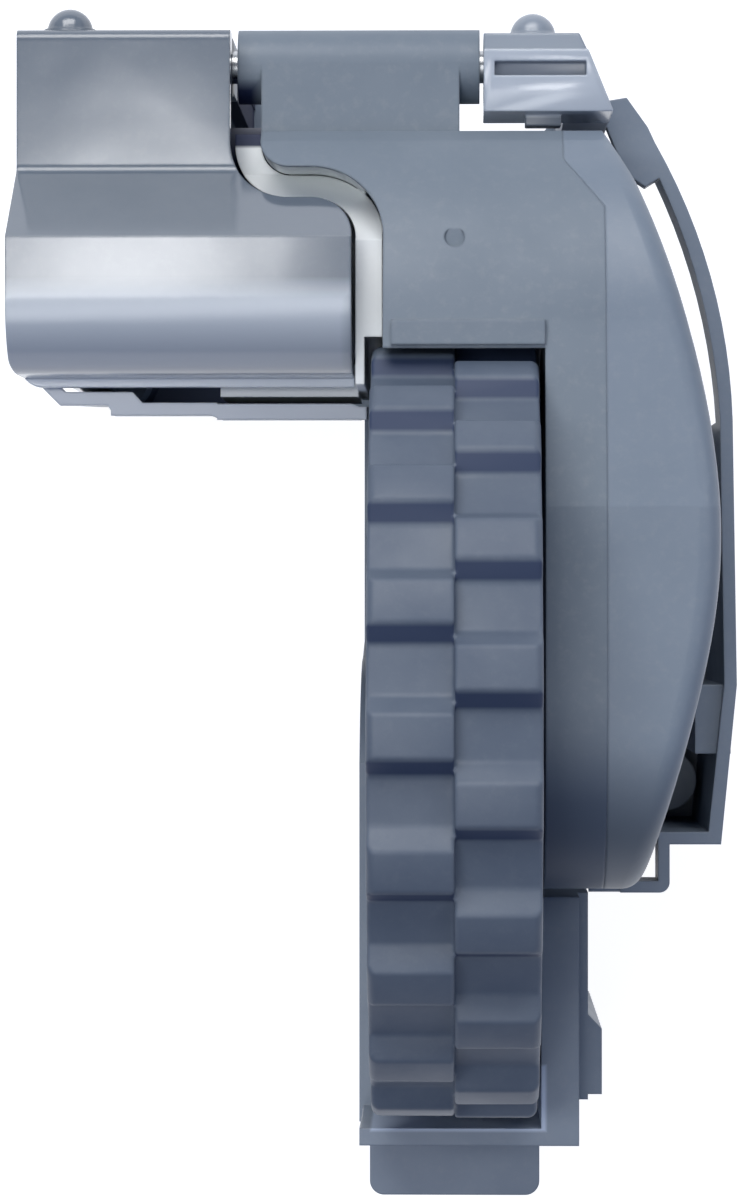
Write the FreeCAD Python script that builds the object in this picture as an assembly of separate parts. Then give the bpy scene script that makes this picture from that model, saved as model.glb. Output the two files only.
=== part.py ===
import FreeCAD, Part
import math
import os

# A drive wheel module of a robot vacuum, lying on the closed back that faces into the robot.
# X runs along the axle, Y from the tail to the pivot, and Z out of the robot, towards the floor.
# The origin is on the back face, under the middle of the wheel.

# Walls and running clearances
wall = 1.8
case_wall = 1.6
thin_wall = 1.2
running_gap = 0.4
seat_gap = 0.3
shaft_play = 0.04
part_gap = 0.1

# Wheel and tyre
axle_z = 50.0
tyre_radius = 35.0
tyre_width = 14.8
tyre_wall = 7.5
lug_height = 1.8
lug_count = 19
lug_top_length = 3.7
lug_flank_length = 1.7
lug_phase_deg = 0.8
shoulder_chamfer = 0.5
hub_rim_inset = 0.6
hub_rim_thickness = 2.6
hub_disc_thickness = 2.0
hub_boss_radius = 7.0
hub_spoke_count = 6
hub_spoke_thickness = 2.0
axle_radius = 2.5
bearing_outer_radius = 4.5
bearing_width = 3.0

# Swing of the arm
pivot_y = 61.0
pivot_z = 44.0
pivot_pin_radius = 1.5
barrel_radius = 3.4
barrel_left_x = -19.9
barrel_right_x = 2.3
web_left_x = -17.7
web_right_x = 0.45

# Gear casing on the arm, drawn in the YZ plane
case_inner_x = 8.0
case_parting_x = 13.4
gear_clearance = 0.56
case_top_flat_y = 20.0
case_lip_y = 36.5
case_lip_z = 61.4
case_crown_y = 46.5
case_crown_z = 58.0
case_shoulder_y = 53.4
case_shoulder_z = 51.6
case_back_y = 54.5
case_floor_z = 31.4
wheel_clearance = 1.0
bead_left_x = -5.6
bead_width = 2.2
bead_rise = 0.75
ejector_y = 44.0
ejector_radius = 0.9
ejector_floor_z = 58.95

# Outer gear cover, its outline in the XY plane
cover_step_x = 9.8
cover_step_y = 51.4
parting_bend_y = 46.8
cover_shoulder_x = 16.4
cover_shoulder_y = 49.1
cover_flank_x = 21.4
cover_flank_y = 33.5
cover_belly_x = 23.2
cover_belly_y = 12.7
cover_low_flank_x = 21.0
cover_low_flank_y = 1.2
cover_tail_x = 16.3
cover_edge_round = 2.0
low_screw_from_back = 14.0
high_screw_from_back = 10.0
low_screw_rise = 5.0
high_screw_drop = 3.0

# Motor, seated on the arm
motor_y = 44.0
motor_z = 36.5
motor_radius = 12.2
motor_length = 22.0
motor_face_x = -8.85
motor_boss_radius = 3.2
motor_shaft_radius = 1.0
end_cap_length = 1.6
board_radius = 9.6
board_thickness = 1.0
magnet_radius = 3.0
magnet_length = 1.8

# Gears: teeth and modules from the motor to the wheel
pressure_angle_deg = 25.0
addendum_factor = 0.8
dedendum_factor = 1.05
tooth_thinning = 0.05
motor_teeth = 10
first_teeth = 26
first_module = 0.5
transfer_teeth = 12
second_teeth = 34
second_module = 0.6
middle_teeth = 12
third_teeth = 34
third_module = 0.7
last_teeth = 11
output_teeth = 29
output_module = 0.8
first_layer_x = 9.7
second_layer_x = 13.6
gear_width = 3.2
motor_gear_x = -5.8
motor_gear_width = 3.8
gear_pin_radius = 1.2
transfer_radius = 1.5
second_gear_drop = 1.0

# Motor bay of the fixed frame
bay_left_x = -39.8
bay_right_x = -9.15
bay_neck_x = -20.4
bay_back_y = 63.7
bay_front_y = 28.4
bay_corner = 5.0
bay_split_z = 20.0
bay_headroom = 2.3
bay_slope_top_y = 50.8
bay_slope_foot_y = 44.0
bulge_rise = 10.0
bulge_front_y = 32.1
bulge_round = 6.5
bay_outer_round = 2.0
bulge_wall_foot_z = 46.0
bulge_flange_y = 31.3
lip_top_z = 45.0
lip_flange = 1.6
lip_end_x = -8.1
lip_near_step_x = -21.9
lip_near_step = 0.4
lip_far_step_x = -31.7
lip_far_step = 1.35
lip_corner_x = -36.4
front_lean = 1.9
slot_left_x = -29.2
slot_depth = 1.5
cradle_room = 0.65
plate_setback = 0.5
neck_inner_radius = 5.5
neck_outer_radius = 3.8
neck_arc_y = 53.5
neck_strip_gap = 0.3
neck_strip_width = 2.4

# Fixed frame round the wheel
cheek_gap = 0.6
cheek_top_z = 44.0
left_cheek_top_z = 26.0
relief_length = 32.0
relief_floor_z = 0.9
cheek_start_y = 6.0
tail_y = -38.6
tail_wall = 1.6
end_wall_overlap = 0.8
tail_cheek_start_y = -15.6
tail_cheek_x = 11.5
tail_ledge_x = 12.5
tail_ledge_z = 38.0
tail_ear_x = 13.8
tail_ear_start_y = -27.0
tail_ear_end_y = -34.5
tongue_length = 7.9
tongue_half_width = 8.3
tongue_top_z = 20.0
tongue_thickness = 3.0
skirt_top_z = 31.0
strap_depth = 7.0
strap_head_depth = 2.6
tab_length = 6.6
tab_reach = 3.4
skirt_head_x = 16.4
skirt_head_y = 59.7
skirt_bend_x = 23.5
skirt_bend_y = 45.6
skirt_side_x = 26.5
skirt_side_y = 29.0
skirt_belly_x = 26.9
skirt_belly_y = 3.7
skirt_foot_x = 25.4
skirt_foot_y = -11.5
skirt_return_x = 19.4
hook_width = 1.1
hook_drop = 4.6
hook_reach = 3.6
knob_radius = 0.85
knob_length = 3.0
low_wall_z = 16.0

# Pivot supports
post_left_x = 10.2
post_right_x = 14.4
post_slope_x = 12.7
post_front_y = 56.6
post_slope_y = 58.2
post_back_y = 61.2
bracket_screw_x = 11.95
bracket_screw_y = 58.6
bracket_screw_radius = 0.8
bracket_head_radius = 1.3
post_top_z = 39.5
ear_thickness = 2.6
ear_radius = 2.7
bracket_left_x = 2.65
bracket_top_z = 49.4
bracket_front_y = 56.3
bracket_back_y = 63.6
bracket_corner_x = 11.4
bracket_shoulder_x = 12.3
bracket_shoulder_y = 61.7
bracket_right_x = 14.5
bracket_rim = 1.0
peg_radius = 2.1
peg_collar = 0.3
left_peg_x = -35.2
right_peg_x = 7.2

# Fasteners, spring and switch
boss_radius = 3.0
cover_post_radius = 2.2
cover_post_from_side = 12.0
screw_seat_depth = 3.0
screw_reach = 13.0
bracket_screw_reach = 12.6
boss_hole_radius = 1.25
boss_height = 14.0
boss_hole_depth = 11.0
screw_radius = 1.0
screw_head_radius = 1.9
screw_head_height = 1.2
spring_x = 2.0
spring_y = 44.0
spring_radius = 3.6
spring_wire_radius = 0.6
spring_turns = 7
switch_x = 9.2
switch_y = 50.0
switch_length = 8.0
switch_width = 5.0
switch_height = 7.0
plunger_radius = 1.1
plunger_reach = 3.2
plunger_travel = 2.8


def box(x0, x1, y0, y1, z0, z1):
    return Part.makeBox(x1 - x0, y1 - y0, z1 - z0, FreeCAD.Vector(x0, y0, z0))


def rod(x0, x1, y, z, radius):
    return Part.makeCylinder(radius, x1 - x0, FreeCAD.Vector(x0, y, z), FreeCAD.Vector(1, 0, 0))


def tube(x0, x1, y, z, outer, inner):
    return rod(x0, x1, y, z, outer).cut(rod(x0, x1, y, z, inner))


def post(x, y, z0, z1, radius):
    return Part.makeCylinder(radius, z1 - z0, FreeCAD.Vector(x, y, z0))


def yz_prism(points, x0, x1):
    corners = [FreeCAD.Vector(x0, y, z) for y, z in points]
    face = Part.Face(Part.makePolygon(corners + corners[:1]))
    return face.extrude(FreeCAD.Vector(x1 - x0, 0, 0))


def xy_prism(points, z0, z1):
    corners = [FreeCAD.Vector(x, y, z0) for x, y in points]
    face = Part.Face(Part.makePolygon(corners + corners[:1]))
    return face.extrude(FreeCAD.Vector(0, 0, z1 - z0))


def line(a, b):
    return Part.makeLine(FreeCAD.Vector(*a), FreeCAD.Vector(*b))


def arc(a, middle, b):
    return Part.Arc(FreeCAD.Vector(*a), FreeCAD.Vector(*middle), FreeCAD.Vector(*b)).toShape()


def fuse(shapes):
    joined = shapes[0]
    for shape in shapes[1:]:
        joined = joined.fuse(shape)
    return joined.removeSplitter()


def cut(shape, tools):
    for tool in tools:
        shape = shape.cut(tool)
    return shape


def top_limit():
    # A height above everything, for cuts that go right through
    return axle_z + 2 * tyre_radius


# Places worked out from the driving dimensions

wheel_half = tyre_width / 2
tyre_bore_radius = tyre_radius - tyre_wall
case_end_radius = output_module * (output_teeth / 2 + addendum_factor) + gear_clearance + case_wall
case_top_z = axle_z + case_end_radius
bay_top_z = motor_z + motor_radius + bay_headroom
bulge_z = bay_top_z + bulge_rise
lug_root_radius = tyre_radius - lug_height
cheek_inner_x = wheel_half + cheek_gap
cheek_outer_x = cheek_inner_x + thin_wall
clearance_radius = tyre_radius + wheel_clearance
case_chamber_x = case_inner_x + case_wall
cover_roof_x = case_parting_x + case_wall
motor_back_x = motor_face_x - motor_length
end_cap_back_x = motor_back_x - end_cap_length
board_back_x = end_cap_back_x - board_thickness
middle_distance = third_module * (middle_teeth + third_teeth) / 2
last_distance = output_module * (last_teeth + output_teeth) / 2
transfer_distance = second_module * (transfer_teeth + second_teeth) / 2
first_distance = first_module * (motor_teeth + first_teeth) / 2


def train_centres():
    # The third gear is level with the axle, the second a little lower, and the transfer gear
    # closes the triangle between the second gear and the motor
    third = (last_distance, axle_z)
    second = (third[0] + math.sqrt(middle_distance ** 2 - second_gear_drop ** 2), axle_z - second_gear_drop)
    reach = math.hypot(motor_y - second[0], motor_z - second[1])
    heading = math.atan2(motor_z - second[1], motor_y - second[0])
    cosine = (reach ** 2 + transfer_distance ** 2 - first_distance ** 2) / (2 * reach * transfer_distance)
    turn = heading + math.acos(cosine)
    transfer = (second[0] + transfer_distance * math.cos(turn), second[1] + transfer_distance * math.sin(turn))
    return third, second, transfer


third_centre, second_centre, transfer_centre = train_centres()
axle_centre = (0.0, axle_z)
motor_centre = (motor_y, motor_z)


# Gears

def involute(angle):
    return math.tan(angle) - angle


def tooth_half_angle(radius, pitch_radius, teeth):
    pressure = math.radians(pressure_angle_deg)
    base_radius = pitch_radius * math.cos(pressure)
    at_radius = math.acos(min(1.0, base_radius / radius))
    thinning = tooth_thinning / (2 * pitch_radius)
    return math.pi / (2 * teeth) + involute(pressure) - involute(at_radius) - thinning


def gear(teeth, module, centre, phase, x0, width, bore):
    pitch_radius = module * teeth / 2
    root_radius = pitch_radius - dedendum_factor * module
    tip_radius = pitch_radius + addendum_factor * module
    base_radius = pitch_radius * math.cos(math.radians(pressure_angle_deg))
    foot_radius = max(root_radius, base_radius)
    flank = [root_radius, foot_radius + (pitch_radius - foot_radius) * 0.5, pitch_radius, tip_radius]
    half_angles = [tooth_half_angle(max(radius, foot_radius), pitch_radius, teeth) for radius in flank]
    points = []
    for tooth in range(teeth):
        middle = phase + 2 * math.pi * tooth / teeth
        for radius, half in zip(flank, half_angles):
            points.append((radius, middle - half))
        for radius, half in zip(reversed(flank), reversed(half_angles)):
            points.append((radius, middle + half))
    outline = [(centre[0] + r * math.cos(a), centre[1] + r * math.sin(a)) for r, a in points]
    body = yz_prism(outline, x0, x0 + width)
    return body.cut(rod(x0 - 1, x0 + width + 1, centre[0], centre[1], bore))


def meshing_phase(teeth, module, centre, mate_teeth, mate_centre, mate_phase):
    # The phase that puts a gap of this gear where the mate has a tooth
    heading = math.atan2(centre[1] - mate_centre[1], centre[0] - mate_centre[0])
    mate_arc = module * mate_teeth / 2 * (mate_phase - heading)
    return heading + math.pi + (math.pi * module / 2 - mate_arc) / (module * teeth / 2)


def output_gear():
    return gear(output_teeth, output_module, axle_centre, 0.0, first_layer_x, gear_width, axle_radius)


def third_gear():
    small_phase = meshing_phase(last_teeth, output_module, third_centre, output_teeth, axle_centre, 0.0)
    bore = gear_pin_radius + shaft_play
    small = gear(last_teeth, output_module, third_centre, small_phase, first_layer_x, gear_width, bore)
    big = gear(third_teeth, third_module, third_centre, 0.0, second_layer_x, gear_width, bore)
    collar_radius = output_module * last_teeth / 2 - dedendum_factor * output_module
    collar = tube(first_layer_x + gear_width, second_layer_x, third_centre[0], third_centre[1], collar_radius, bore)
    return fuse([small, collar, lightened(big, third_centre, third_module * third_teeth / 2, collar_radius)])


def second_gear():
    small_phase = meshing_phase(middle_teeth, third_module, second_centre, third_teeth, third_centre, 0.0)
    bore = gear_pin_radius + shaft_play
    big = gear(second_teeth, second_module, second_centre, 0.0, first_layer_x, gear_width, bore)
    small = gear(middle_teeth, third_module, second_centre, small_phase, second_layer_x, gear_width, bore)
    collar_radius = third_module * middle_teeth / 2 - dedendum_factor * third_module
    collar = tube(first_layer_x + gear_width, second_layer_x, second_centre[0], second_centre[1], collar_radius, bore)
    return fuse([lightened(big, second_centre, second_module * second_teeth / 2, collar_radius), collar, small])


def lightened(body, centre, pitch_radius, hub_radius):
    # Round windows in the web of a large gear
    ring = (pitch_radius + hub_radius) / 2 - 0.2
    window = (pitch_radius - hub_radius) / 2 - 2.0
    tools = []
    for step in range(5):
        turn = 2 * math.pi * step / 5
        tools.append(rod(first_layer_x - 1, second_layer_x + gear_width + 1,
                         centre[0] + ring * math.cos(turn), centre[1] + ring * math.sin(turn), window))
    return cut(body, tools)


def transfer_shaft():
    y, z = transfer_centre
    return rod(motor_gear_x - transfer_bearing_depth, transfer_end_x, y, z, transfer_radius)


transfer_bearing_depth = 2.0
transfer_end_x = second_layer_x + gear_width - 1.0


def first_gear():
    return gear(first_teeth, first_module, transfer_centre, 0.0, motor_gear_x, motor_gear_width, transfer_radius)


def transfer_pinion():
    phase = meshing_phase(transfer_teeth, second_module, transfer_centre, second_teeth, second_centre, 0.0)
    return gear(transfer_teeth, second_module, transfer_centre, phase, first_layer_x, gear_width, transfer_radius)


def motor_pinion():
    phase = meshing_phase(motor_teeth, first_module, motor_centre, first_teeth, transfer_centre, 0.0)
    return gear(motor_teeth, first_module, motor_centre, phase, motor_gear_x, motor_gear_width, motor_shaft_radius)


# Wheel

def lug_outline(phase_deg):
    # A ring with trapezoid lugs; each tooth turns by one pitch
    flank_turn = lug_flank_length / tyre_radius
    top_turn = lug_top_length / (2 * tyre_radius)
    points = []
    for step in range(lug_count):
        middle = math.radians(90 - phase_deg) + 2 * math.pi * step / lug_count
        points.append((lug_root_radius, middle - top_turn - flank_turn))
        points.append((tyre_radius, middle - top_turn))
        points.append((tyre_radius, middle))
        points.append((tyre_radius, middle + top_turn))
        points.append((lug_root_radius, middle + top_turn + flank_turn))
        points.append((lug_root_radius, middle + math.pi / lug_count))
    return [(r * math.cos(a), axle_z + r * math.sin(a)) for r, a in points]


def tread_row(x0, x1, phase_deg):
    return yz_prism(lug_outline(phase_deg), x0, x1)


def tyre():
    half_pitch = 180.0 / lug_count
    left = tread_row(-wheel_half, 0, lug_phase_deg)
    right = tread_row(0, wheel_half, lug_phase_deg + half_pitch)
    both = left.fuse(right)
    rim = shoulder_chamfer
    profile = [(-wheel_half, tyre_bore_radius), (wheel_half, tyre_bore_radius),
               (wheel_half, tyre_radius - rim), (wheel_half - rim, tyre_radius),
               (-wheel_half + rim, tyre_radius), (-wheel_half, tyre_radius - rim)]
    corners = [FreeCAD.Vector(x, 0, axle_z + r) for x, r in profile]
    face = Part.Face(Part.makePolygon(corners + corners[:1]))
    envelope = face.revolve(FreeCAD.Vector(0, 0, axle_z), FreeCAD.Vector(1, 0, 0), 360)
    return both.common(envelope)


def wheel_hub():
    half = wheel_half - hub_rim_inset
    rim_inner = tyre_bore_radius - hub_rim_thickness
    rim = tube(-half, half, 0, axle_z, tyre_bore_radius, rim_inner)
    disc_x = 0.6
    disc = rod(disc_x, disc_x + hub_disc_thickness, 0, axle_z, rim_inner + part_gap)
    boss_right = case_boss_x() - running_gap
    boss = rod(-half + 1.2, boss_right, 0, axle_z, hub_boss_radius)
    shapes = [rim, disc, boss]
    for step in range(hub_spoke_count):
        spoke = box(-half + 1.2, disc_x + 0.1, hub_boss_radius - 1, rim_inner + 1,
                    -hub_spoke_thickness / 2, hub_spoke_thickness / 2)
        spoke.rotate(FreeCAD.Vector(0, 0, 0), FreeCAD.Vector(1, 0, 0), 30 + 360 * step / hub_spoke_count)
        spoke.translate(FreeCAD.Vector(0, 0, axle_z))
        shapes.append(spoke)
    bore = rod(-half + 2.4, wheel_half + 2, 0, axle_z, axle_radius)
    screw_way = rod(-wheel_half - 1, -half + 2.5, 0, axle_z, screw_radius + shaft_play)
    return cut(fuse(shapes), [bore, screw_way])


def case_boss_x():
    return case_inner_x - bearing_width - 0.4


def output_shaft():
    left = -wheel_half + hub_rim_inset + 2.4
    right = cover_bearing_x() + 2.4
    shaft = rod(left, right, 0, axle_z, axle_radius)
    return shaft.cut(rod(left - 1, left + 6.0, 0, axle_z, screw_radius))


def cover_bearing_x():
    return second_layer_x + gear_width + 0.4


def wheel_screw():
    seat = -wheel_half + hub_rim_inset + 1.2
    head = rod(seat - screw_head_height, seat, 0, axle_z, screw_head_radius + 0.8)
    shank = rod(seat, seat + 6.0, 0, axle_z, screw_radius)
    return fuse([head, shank])


# Swing arm

def arm_outline():
    # The casing seen along the axle: a round end, a flat top, a lip over the tyre and a curved shoulder
    end_top = (0, axle_z + case_end_radius)
    end_low = (0, axle_z - case_end_radius)
    x = case_inner_x

    def at(point):
        return (x, point[0], point[1])

    lip = (case_lip_y, case_lip_z)
    shoulder = (case_shoulder_y, case_shoulder_z)
    crown = (case_crown_y, case_crown_z)
    back_top = (case_back_y, case_shoulder_z - 2.0)
    back_low = (case_back_y, case_floor_z + 5.0)
    floor_back = (case_back_y - 3.5, case_floor_z)
    floor_front = (clearance_radius - 3.0, case_floor_z)
    edges = [line(at(end_top), at((case_top_flat_y, case_top_z))),
             line(at((case_top_flat_y, case_top_z)), at(lip)),
             arc(at(lip), at(crown), at(shoulder)),
             line(at(shoulder), at(back_top)),
             line(at(back_top), at(back_low)),
             line(at(back_low), at(floor_back)),
             line(at(floor_back), at(floor_front)),
             line(at(floor_front), at((case_top_flat_y, end_low[1]))),
             line(at((case_top_flat_y, end_low[1])), at(end_low)),
             arc(at(end_low), at((-case_end_radius, axle_z)), at(end_top))]
    return Part.Wire(Part.__sortEdges__(edges))


def arm_prism(x0, x1, inset=0.0):
    face = Part.Face(arm_outline())
    if inset:
        face = Part.Face(face.makeOffset2D(-inset).Wires[0])
    face.translate(FreeCAD.Vector(x0 - case_inner_x, 0, 0))
    return face.extrude(FreeCAD.Vector(x1 - x0, 0, 0))


def neck_region(offset, z0, z1):
    # Everything on the arm's side of the S-shaped edge of the motor bay, set off from it by a distance
    edge_x = bay_neck_x + offset
    inner = neck_inner_radius - offset
    outer = neck_outer_radius + offset
    centre_x = bay_neck_x + neck_inner_radius
    shelf_y = neck_arc_y - inner
    low_centre_x = bay_right_x - neck_outer_radius
    low_centre_y = shelf_y - outer
    diagonal = math.sqrt(0.5)
    far_x = skirt_belly_x + 10
    high_y = bay_back_y + 10
    low_y = tail_y
    edges = [line((edge_x, high_y, z0), (edge_x, neck_arc_y, z0)),
             arc((edge_x, neck_arc_y, z0),
                 (centre_x - inner * diagonal, neck_arc_y - inner * diagonal, z0),
                 (centre_x, shelf_y, z0)),
             line((centre_x, shelf_y, z0), (low_centre_x, shelf_y, z0)),
             arc((low_centre_x, shelf_y, z0),
                 (low_centre_x + outer * diagonal, low_centre_y + outer * diagonal, z0),
                 (low_centre_x + outer, low_centre_y, z0)),
             line((low_centre_x + outer, low_centre_y, z0), (low_centre_x + outer, low_y, z0)),
             line((low_centre_x + outer, low_y, z0), (far_x, low_y, z0)),
             line((far_x, low_y, z0), (far_x, high_y, z0)),
             line((far_x, high_y, z0), (edge_x, high_y, z0))]
    face = Part.Face(Part.Wire(edges))
    return face.extrude(FreeCAD.Vector(0, 0, z1 - z0))


def case_plan():
    # The arm's own side of the parting line with the outer cover
    points = [(barrel_left_x, case_back_y), (cover_step_x, case_back_y), (cover_step_x, cover_step_y),
              (case_parting_x, parting_bend_y), (case_parting_x, -case_end_radius - 1),
              (case_inner_x, -case_end_radius - 1), (case_inner_x, case_floor_z - 8),
              (barrel_left_x, case_floor_z - 8)]
    return xy_prism(points, 0, top_limit())


def wheel_room(x0, x1, radius):
    return rod(x0, x1, 0, axle_z, radius)


def arm_case():
    body = arm_prism(barrel_left_x, case_parting_x).common(case_plan())
    body = body.common(neck_region(neck_strip_gap + neck_strip_width + part_gap, 0, top_limit()))
    body = body.cut(wheel_room(barrel_left_x - 1, case_inner_x, clearance_radius))
    under_roof = box(barrel_left_x - 1, carrier_plate_x, case_floor_z - 8, case_back_y + 1, 0, web_low_z())
    under_roof = under_roof.fuse(rod(barrel_left_x - 1, carrier_plate_x, motor_y, motor_z,
                                     motor_radius + running_gap))
    gear_room = arm_prism(case_chamber_x, case_parting_x + 1, case_wall)
    motor_room = arm_prism(carrier_plate_x - 0.001, case_inner_x, case_wall)
    motor_room = motor_room.cut(wheel_room(barrel_left_x, case_inner_x, clearance_radius + case_wall))
    motor_room = motor_room.common(box(barrel_left_x, case_inner_x, 25, case_back_y, 0, top_limit()))
    body = cut(body, [under_roof, gear_room, motor_room])
    boss = rod(case_boss_x(), case_chamber_x, 0, axle_z, bearing_outer_radius + case_wall)
    barrel = rod(barrel_left_x, barrel_right_x, pivot_y, pivot_z, barrel_radius)
    web = box(web_left_x, web_right_x, case_back_y - 0.5, pivot_y, web_low_z(), pivot_z + barrel_radius)
    ribs = [box(x, x + case_wall, case_back_y - 1.0, pivot_y, pivot_z - 2.4, pivot_z + 1)
            for x in (carrier_plate_x + 1.0, web_right_x - case_wall)]
    step = box(web_left_x, barrel_right_x, case_back_y - 1.0, case_back_y, case_floor_z + 6, pivot_z + barrel_radius)
    step = step.common(box(carrier_plate_x, barrel_right_x, 0, 99, 0, 99))
    posts = [rod(case_chamber_x - 0.1, case_chamber_x + 0.1, y, z, gear_pin_radius + 1.2)
             for y, z in (third_centre, second_centre)]
    screw_posts = [rod(case_chamber_x - 0.1, case_parting_x - part_gap, y, z, screw_head_radius)
                   for y, z in cover_screw_places()]
    bead = box(bead_left_x, case_inner_x, case_lip_y - bead_width, case_lip_y, case_lip_z - 1.4,
               case_lip_z + bead_rise).cut(wheel_room(barrel_left_x, case_inner_x + 1, clearance_radius))
    body = fuse([body, boss, barrel, web, step, bead] + ribs + posts + screw_posts)
    y, z = transfer_centre
    holes = [rod(barrel_left_x - 1, barrel_right_x + 1, pivot_y, pivot_z, pivot_pin_radius + shaft_play),
             rod(case_boss_x() - 1, case_inner_x, 0, axle_z, bearing_outer_radius),
             rod(case_inner_x - 0.5, case_chamber_x + 1, 0, axle_z, axle_radius + seat_gap),
             rod(case_inner_x - 0.5, case_chamber_x + 1, y, z, transfer_radius + seat_gap),
             post(0, ejector_y, ejector_floor_z, case_top_z, ejector_radius)]
    holes += [rod(case_inner_x + 0.6, case_parting_x, y, z, gear_pin_radius) for y, z in (third_centre, second_centre)]
    holes += [rod(case_chamber_x + 0.6, case_parting_x, y, z, screw_radius) for y, z in cover_screw_places()]
    return cut(body, holes)


carrier_plate_x = motor_face_x + 0.8


def web_low_z():
    return pivot_z + 0.4


def cover_screw_places():
    return [(case_back_y - low_screw_from_back, case_floor_z + low_screw_rise),
            (case_back_y - high_screw_from_back, case_crown_z - high_screw_drop)]


def cover_outline(inset):
    # Outer cover seen from above, with one smooth curve from the shoulder over the belly to the tail
    left = case_parting_x
    back_y = case_back_y - inset
    low_y = -case_end_radius - 1

    def at(x, y):
        return FreeCAD.Vector(x, y, 0)

    flank = Part.BSplineCurve()
    flank.interpolate([at(cover_shoulder_x - inset, cover_shoulder_y), at(cover_flank_x - inset, cover_flank_y),
                       at(cover_belly_x - inset, cover_belly_y), at(cover_low_flank_x - inset, cover_low_flank_y),
                       at(cover_tail_x - inset, low_y)])
    edges = [Part.makeLine(at(cover_step_x, cover_step_y), at(cover_step_x, back_y)),
             Part.makeLine(at(cover_step_x, back_y), at(left - inset, back_y)),
             Part.makeLine(at(left - inset, back_y), at(cover_shoulder_x - inset, cover_shoulder_y)),
             flank.toShape(),
             Part.makeLine(at(cover_tail_x - inset, low_y), at(left, low_y)),
             Part.makeLine(at(left, low_y), at(left, parting_bend_y)),
             Part.makeLine(at(left, parting_bend_y), at(cover_step_x, cover_step_y))]
    face = Part.Face(Part.Wire(edges))
    return face.extrude(FreeCAD.Vector(0, 0, top_limit()))


def gear_cover():
    outer = arm_prism(cover_step_x, cover_belly_x + 2).common(cover_outline(0.0))
    outer = rounded_cover(outer)
    inner = arm_prism(cover_step_x - 1, cover_belly_x + 2, case_wall).common(cover_outline(case_wall))
    shell = outer.cut(inner)
    shell = shell.cut(box(cover_step_x - 1, cover_step_x, 0, case_back_y, 0, top_limit()))
    ledge_x = cover_bearing_x()
    bearing_boss = rod(ledge_x, cover_belly_x, 0, axle_z, bearing_outer_radius + case_wall)
    posts = [rod(second_layer_x + gear_width + seat_gap, cover_belly_x, y, z, gear_pin_radius + 1.2)
             for y, z in (third_centre, second_centre)]
    y, z = transfer_centre
    posts.append(rod(transfer_end_x - 1.6, cover_belly_x, y, z, transfer_radius + 1.4))
    posts += [rod(case_parting_x - part_gap, cover_belly_x, y, z, screw_head_radius + 0.6)
              for y, z in cover_screw_places()]
    bosses = fuse([bearing_boss] + posts).common(outer)
    shell = fuse([shell, bosses])
    holes = [rod(ledge_x - 1, ledge_x + 2.4, 0, axle_z, bearing_outer_radius),
             rod(transfer_end_x - 3, transfer_end_x + 0.4, y, z, transfer_radius + shaft_play)]
    holes += [rod(second_layer_x, gear_pin_end_x(), y, z, gear_pin_radius) for y, z in (third_centre, second_centre)]
    holes += [rod(case_parting_x - 2, cover_belly_x + 3, y, z, screw_radius + 0.1) for y, z in cover_screw_places()]
    holes += [rod(screw_seat_x(), cover_belly_x + 3, y, z, screw_head_radius + 0.1)
              for y, z in cover_screw_places()]
    return cut(shell, holes)


def rounded_cover(solid):
    # The long outer edges, all round the cover's flank
    flank = [edge for edge in solid.Edges
             if edge.BoundBox.XMin > case_parting_x + 1 and edge.BoundBox.YLength > 2 and edge.Length > 4]
    return solid.makeFillet(cover_edge_round, flank)


def gear_pin_end_x():
    return second_layer_x + gear_width + 1.8


def screw_seat_x():
    return case_parting_x + 1.6


def gear_pin(centre):
    return rod(case_inner_x + 0.6, gear_pin_end_x(), centre[0], centre[1], gear_pin_radius)


def gear_pins():
    return Part.makeCompound([gear_pin(third_centre), gear_pin(second_centre)])


def bearing(x0, width, centre, bore, outer):
    return tube(x0, x0 + width, centre[0], centre[1], outer, bore + shaft_play)


def inner_bearing():
    return bearing(case_boss_x() + 0.4, bearing_width, axle_centre, axle_radius, bearing_outer_radius)


def outer_bearing():
    return bearing(cover_bearing_x(), 2.4, axle_centre, axle_radius, bearing_outer_radius)


def case_screws():
    screws = []
    for y, z in cover_screw_places():
        head = rod(screw_seat_x(), screw_seat_x() + screw_head_height, y, z, screw_head_radius)
        shank = rod(case_chamber_x + 0.8, screw_seat_x(), y, z, screw_radius)
        screws.append(fuse([head, shank]))
    return Part.makeCompound(screws)


# Motor and its carrier

def strip_top_cut():
    # Above the light strip: it stays under the skin of the motor bay through the whole swing
    skin = wall * math.hypot(1, slope_ratio()) + 0.7
    points = [(tail_y, bulge_z - skin), (bay_slope_foot_y, bulge_z - skin),
              (bay_slope_top_y, bay_top_z - skin), (pivot_y + 20, bay_top_z - skin),
              (pivot_y + 20, top_limit()), (tail_y, top_limit())]
    return yz_prism(points, bay_left_x, case_inner_x)


def slope_ratio():
    return (bulge_z - bay_top_z) / (bay_slope_top_y - bay_slope_foot_y)


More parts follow.
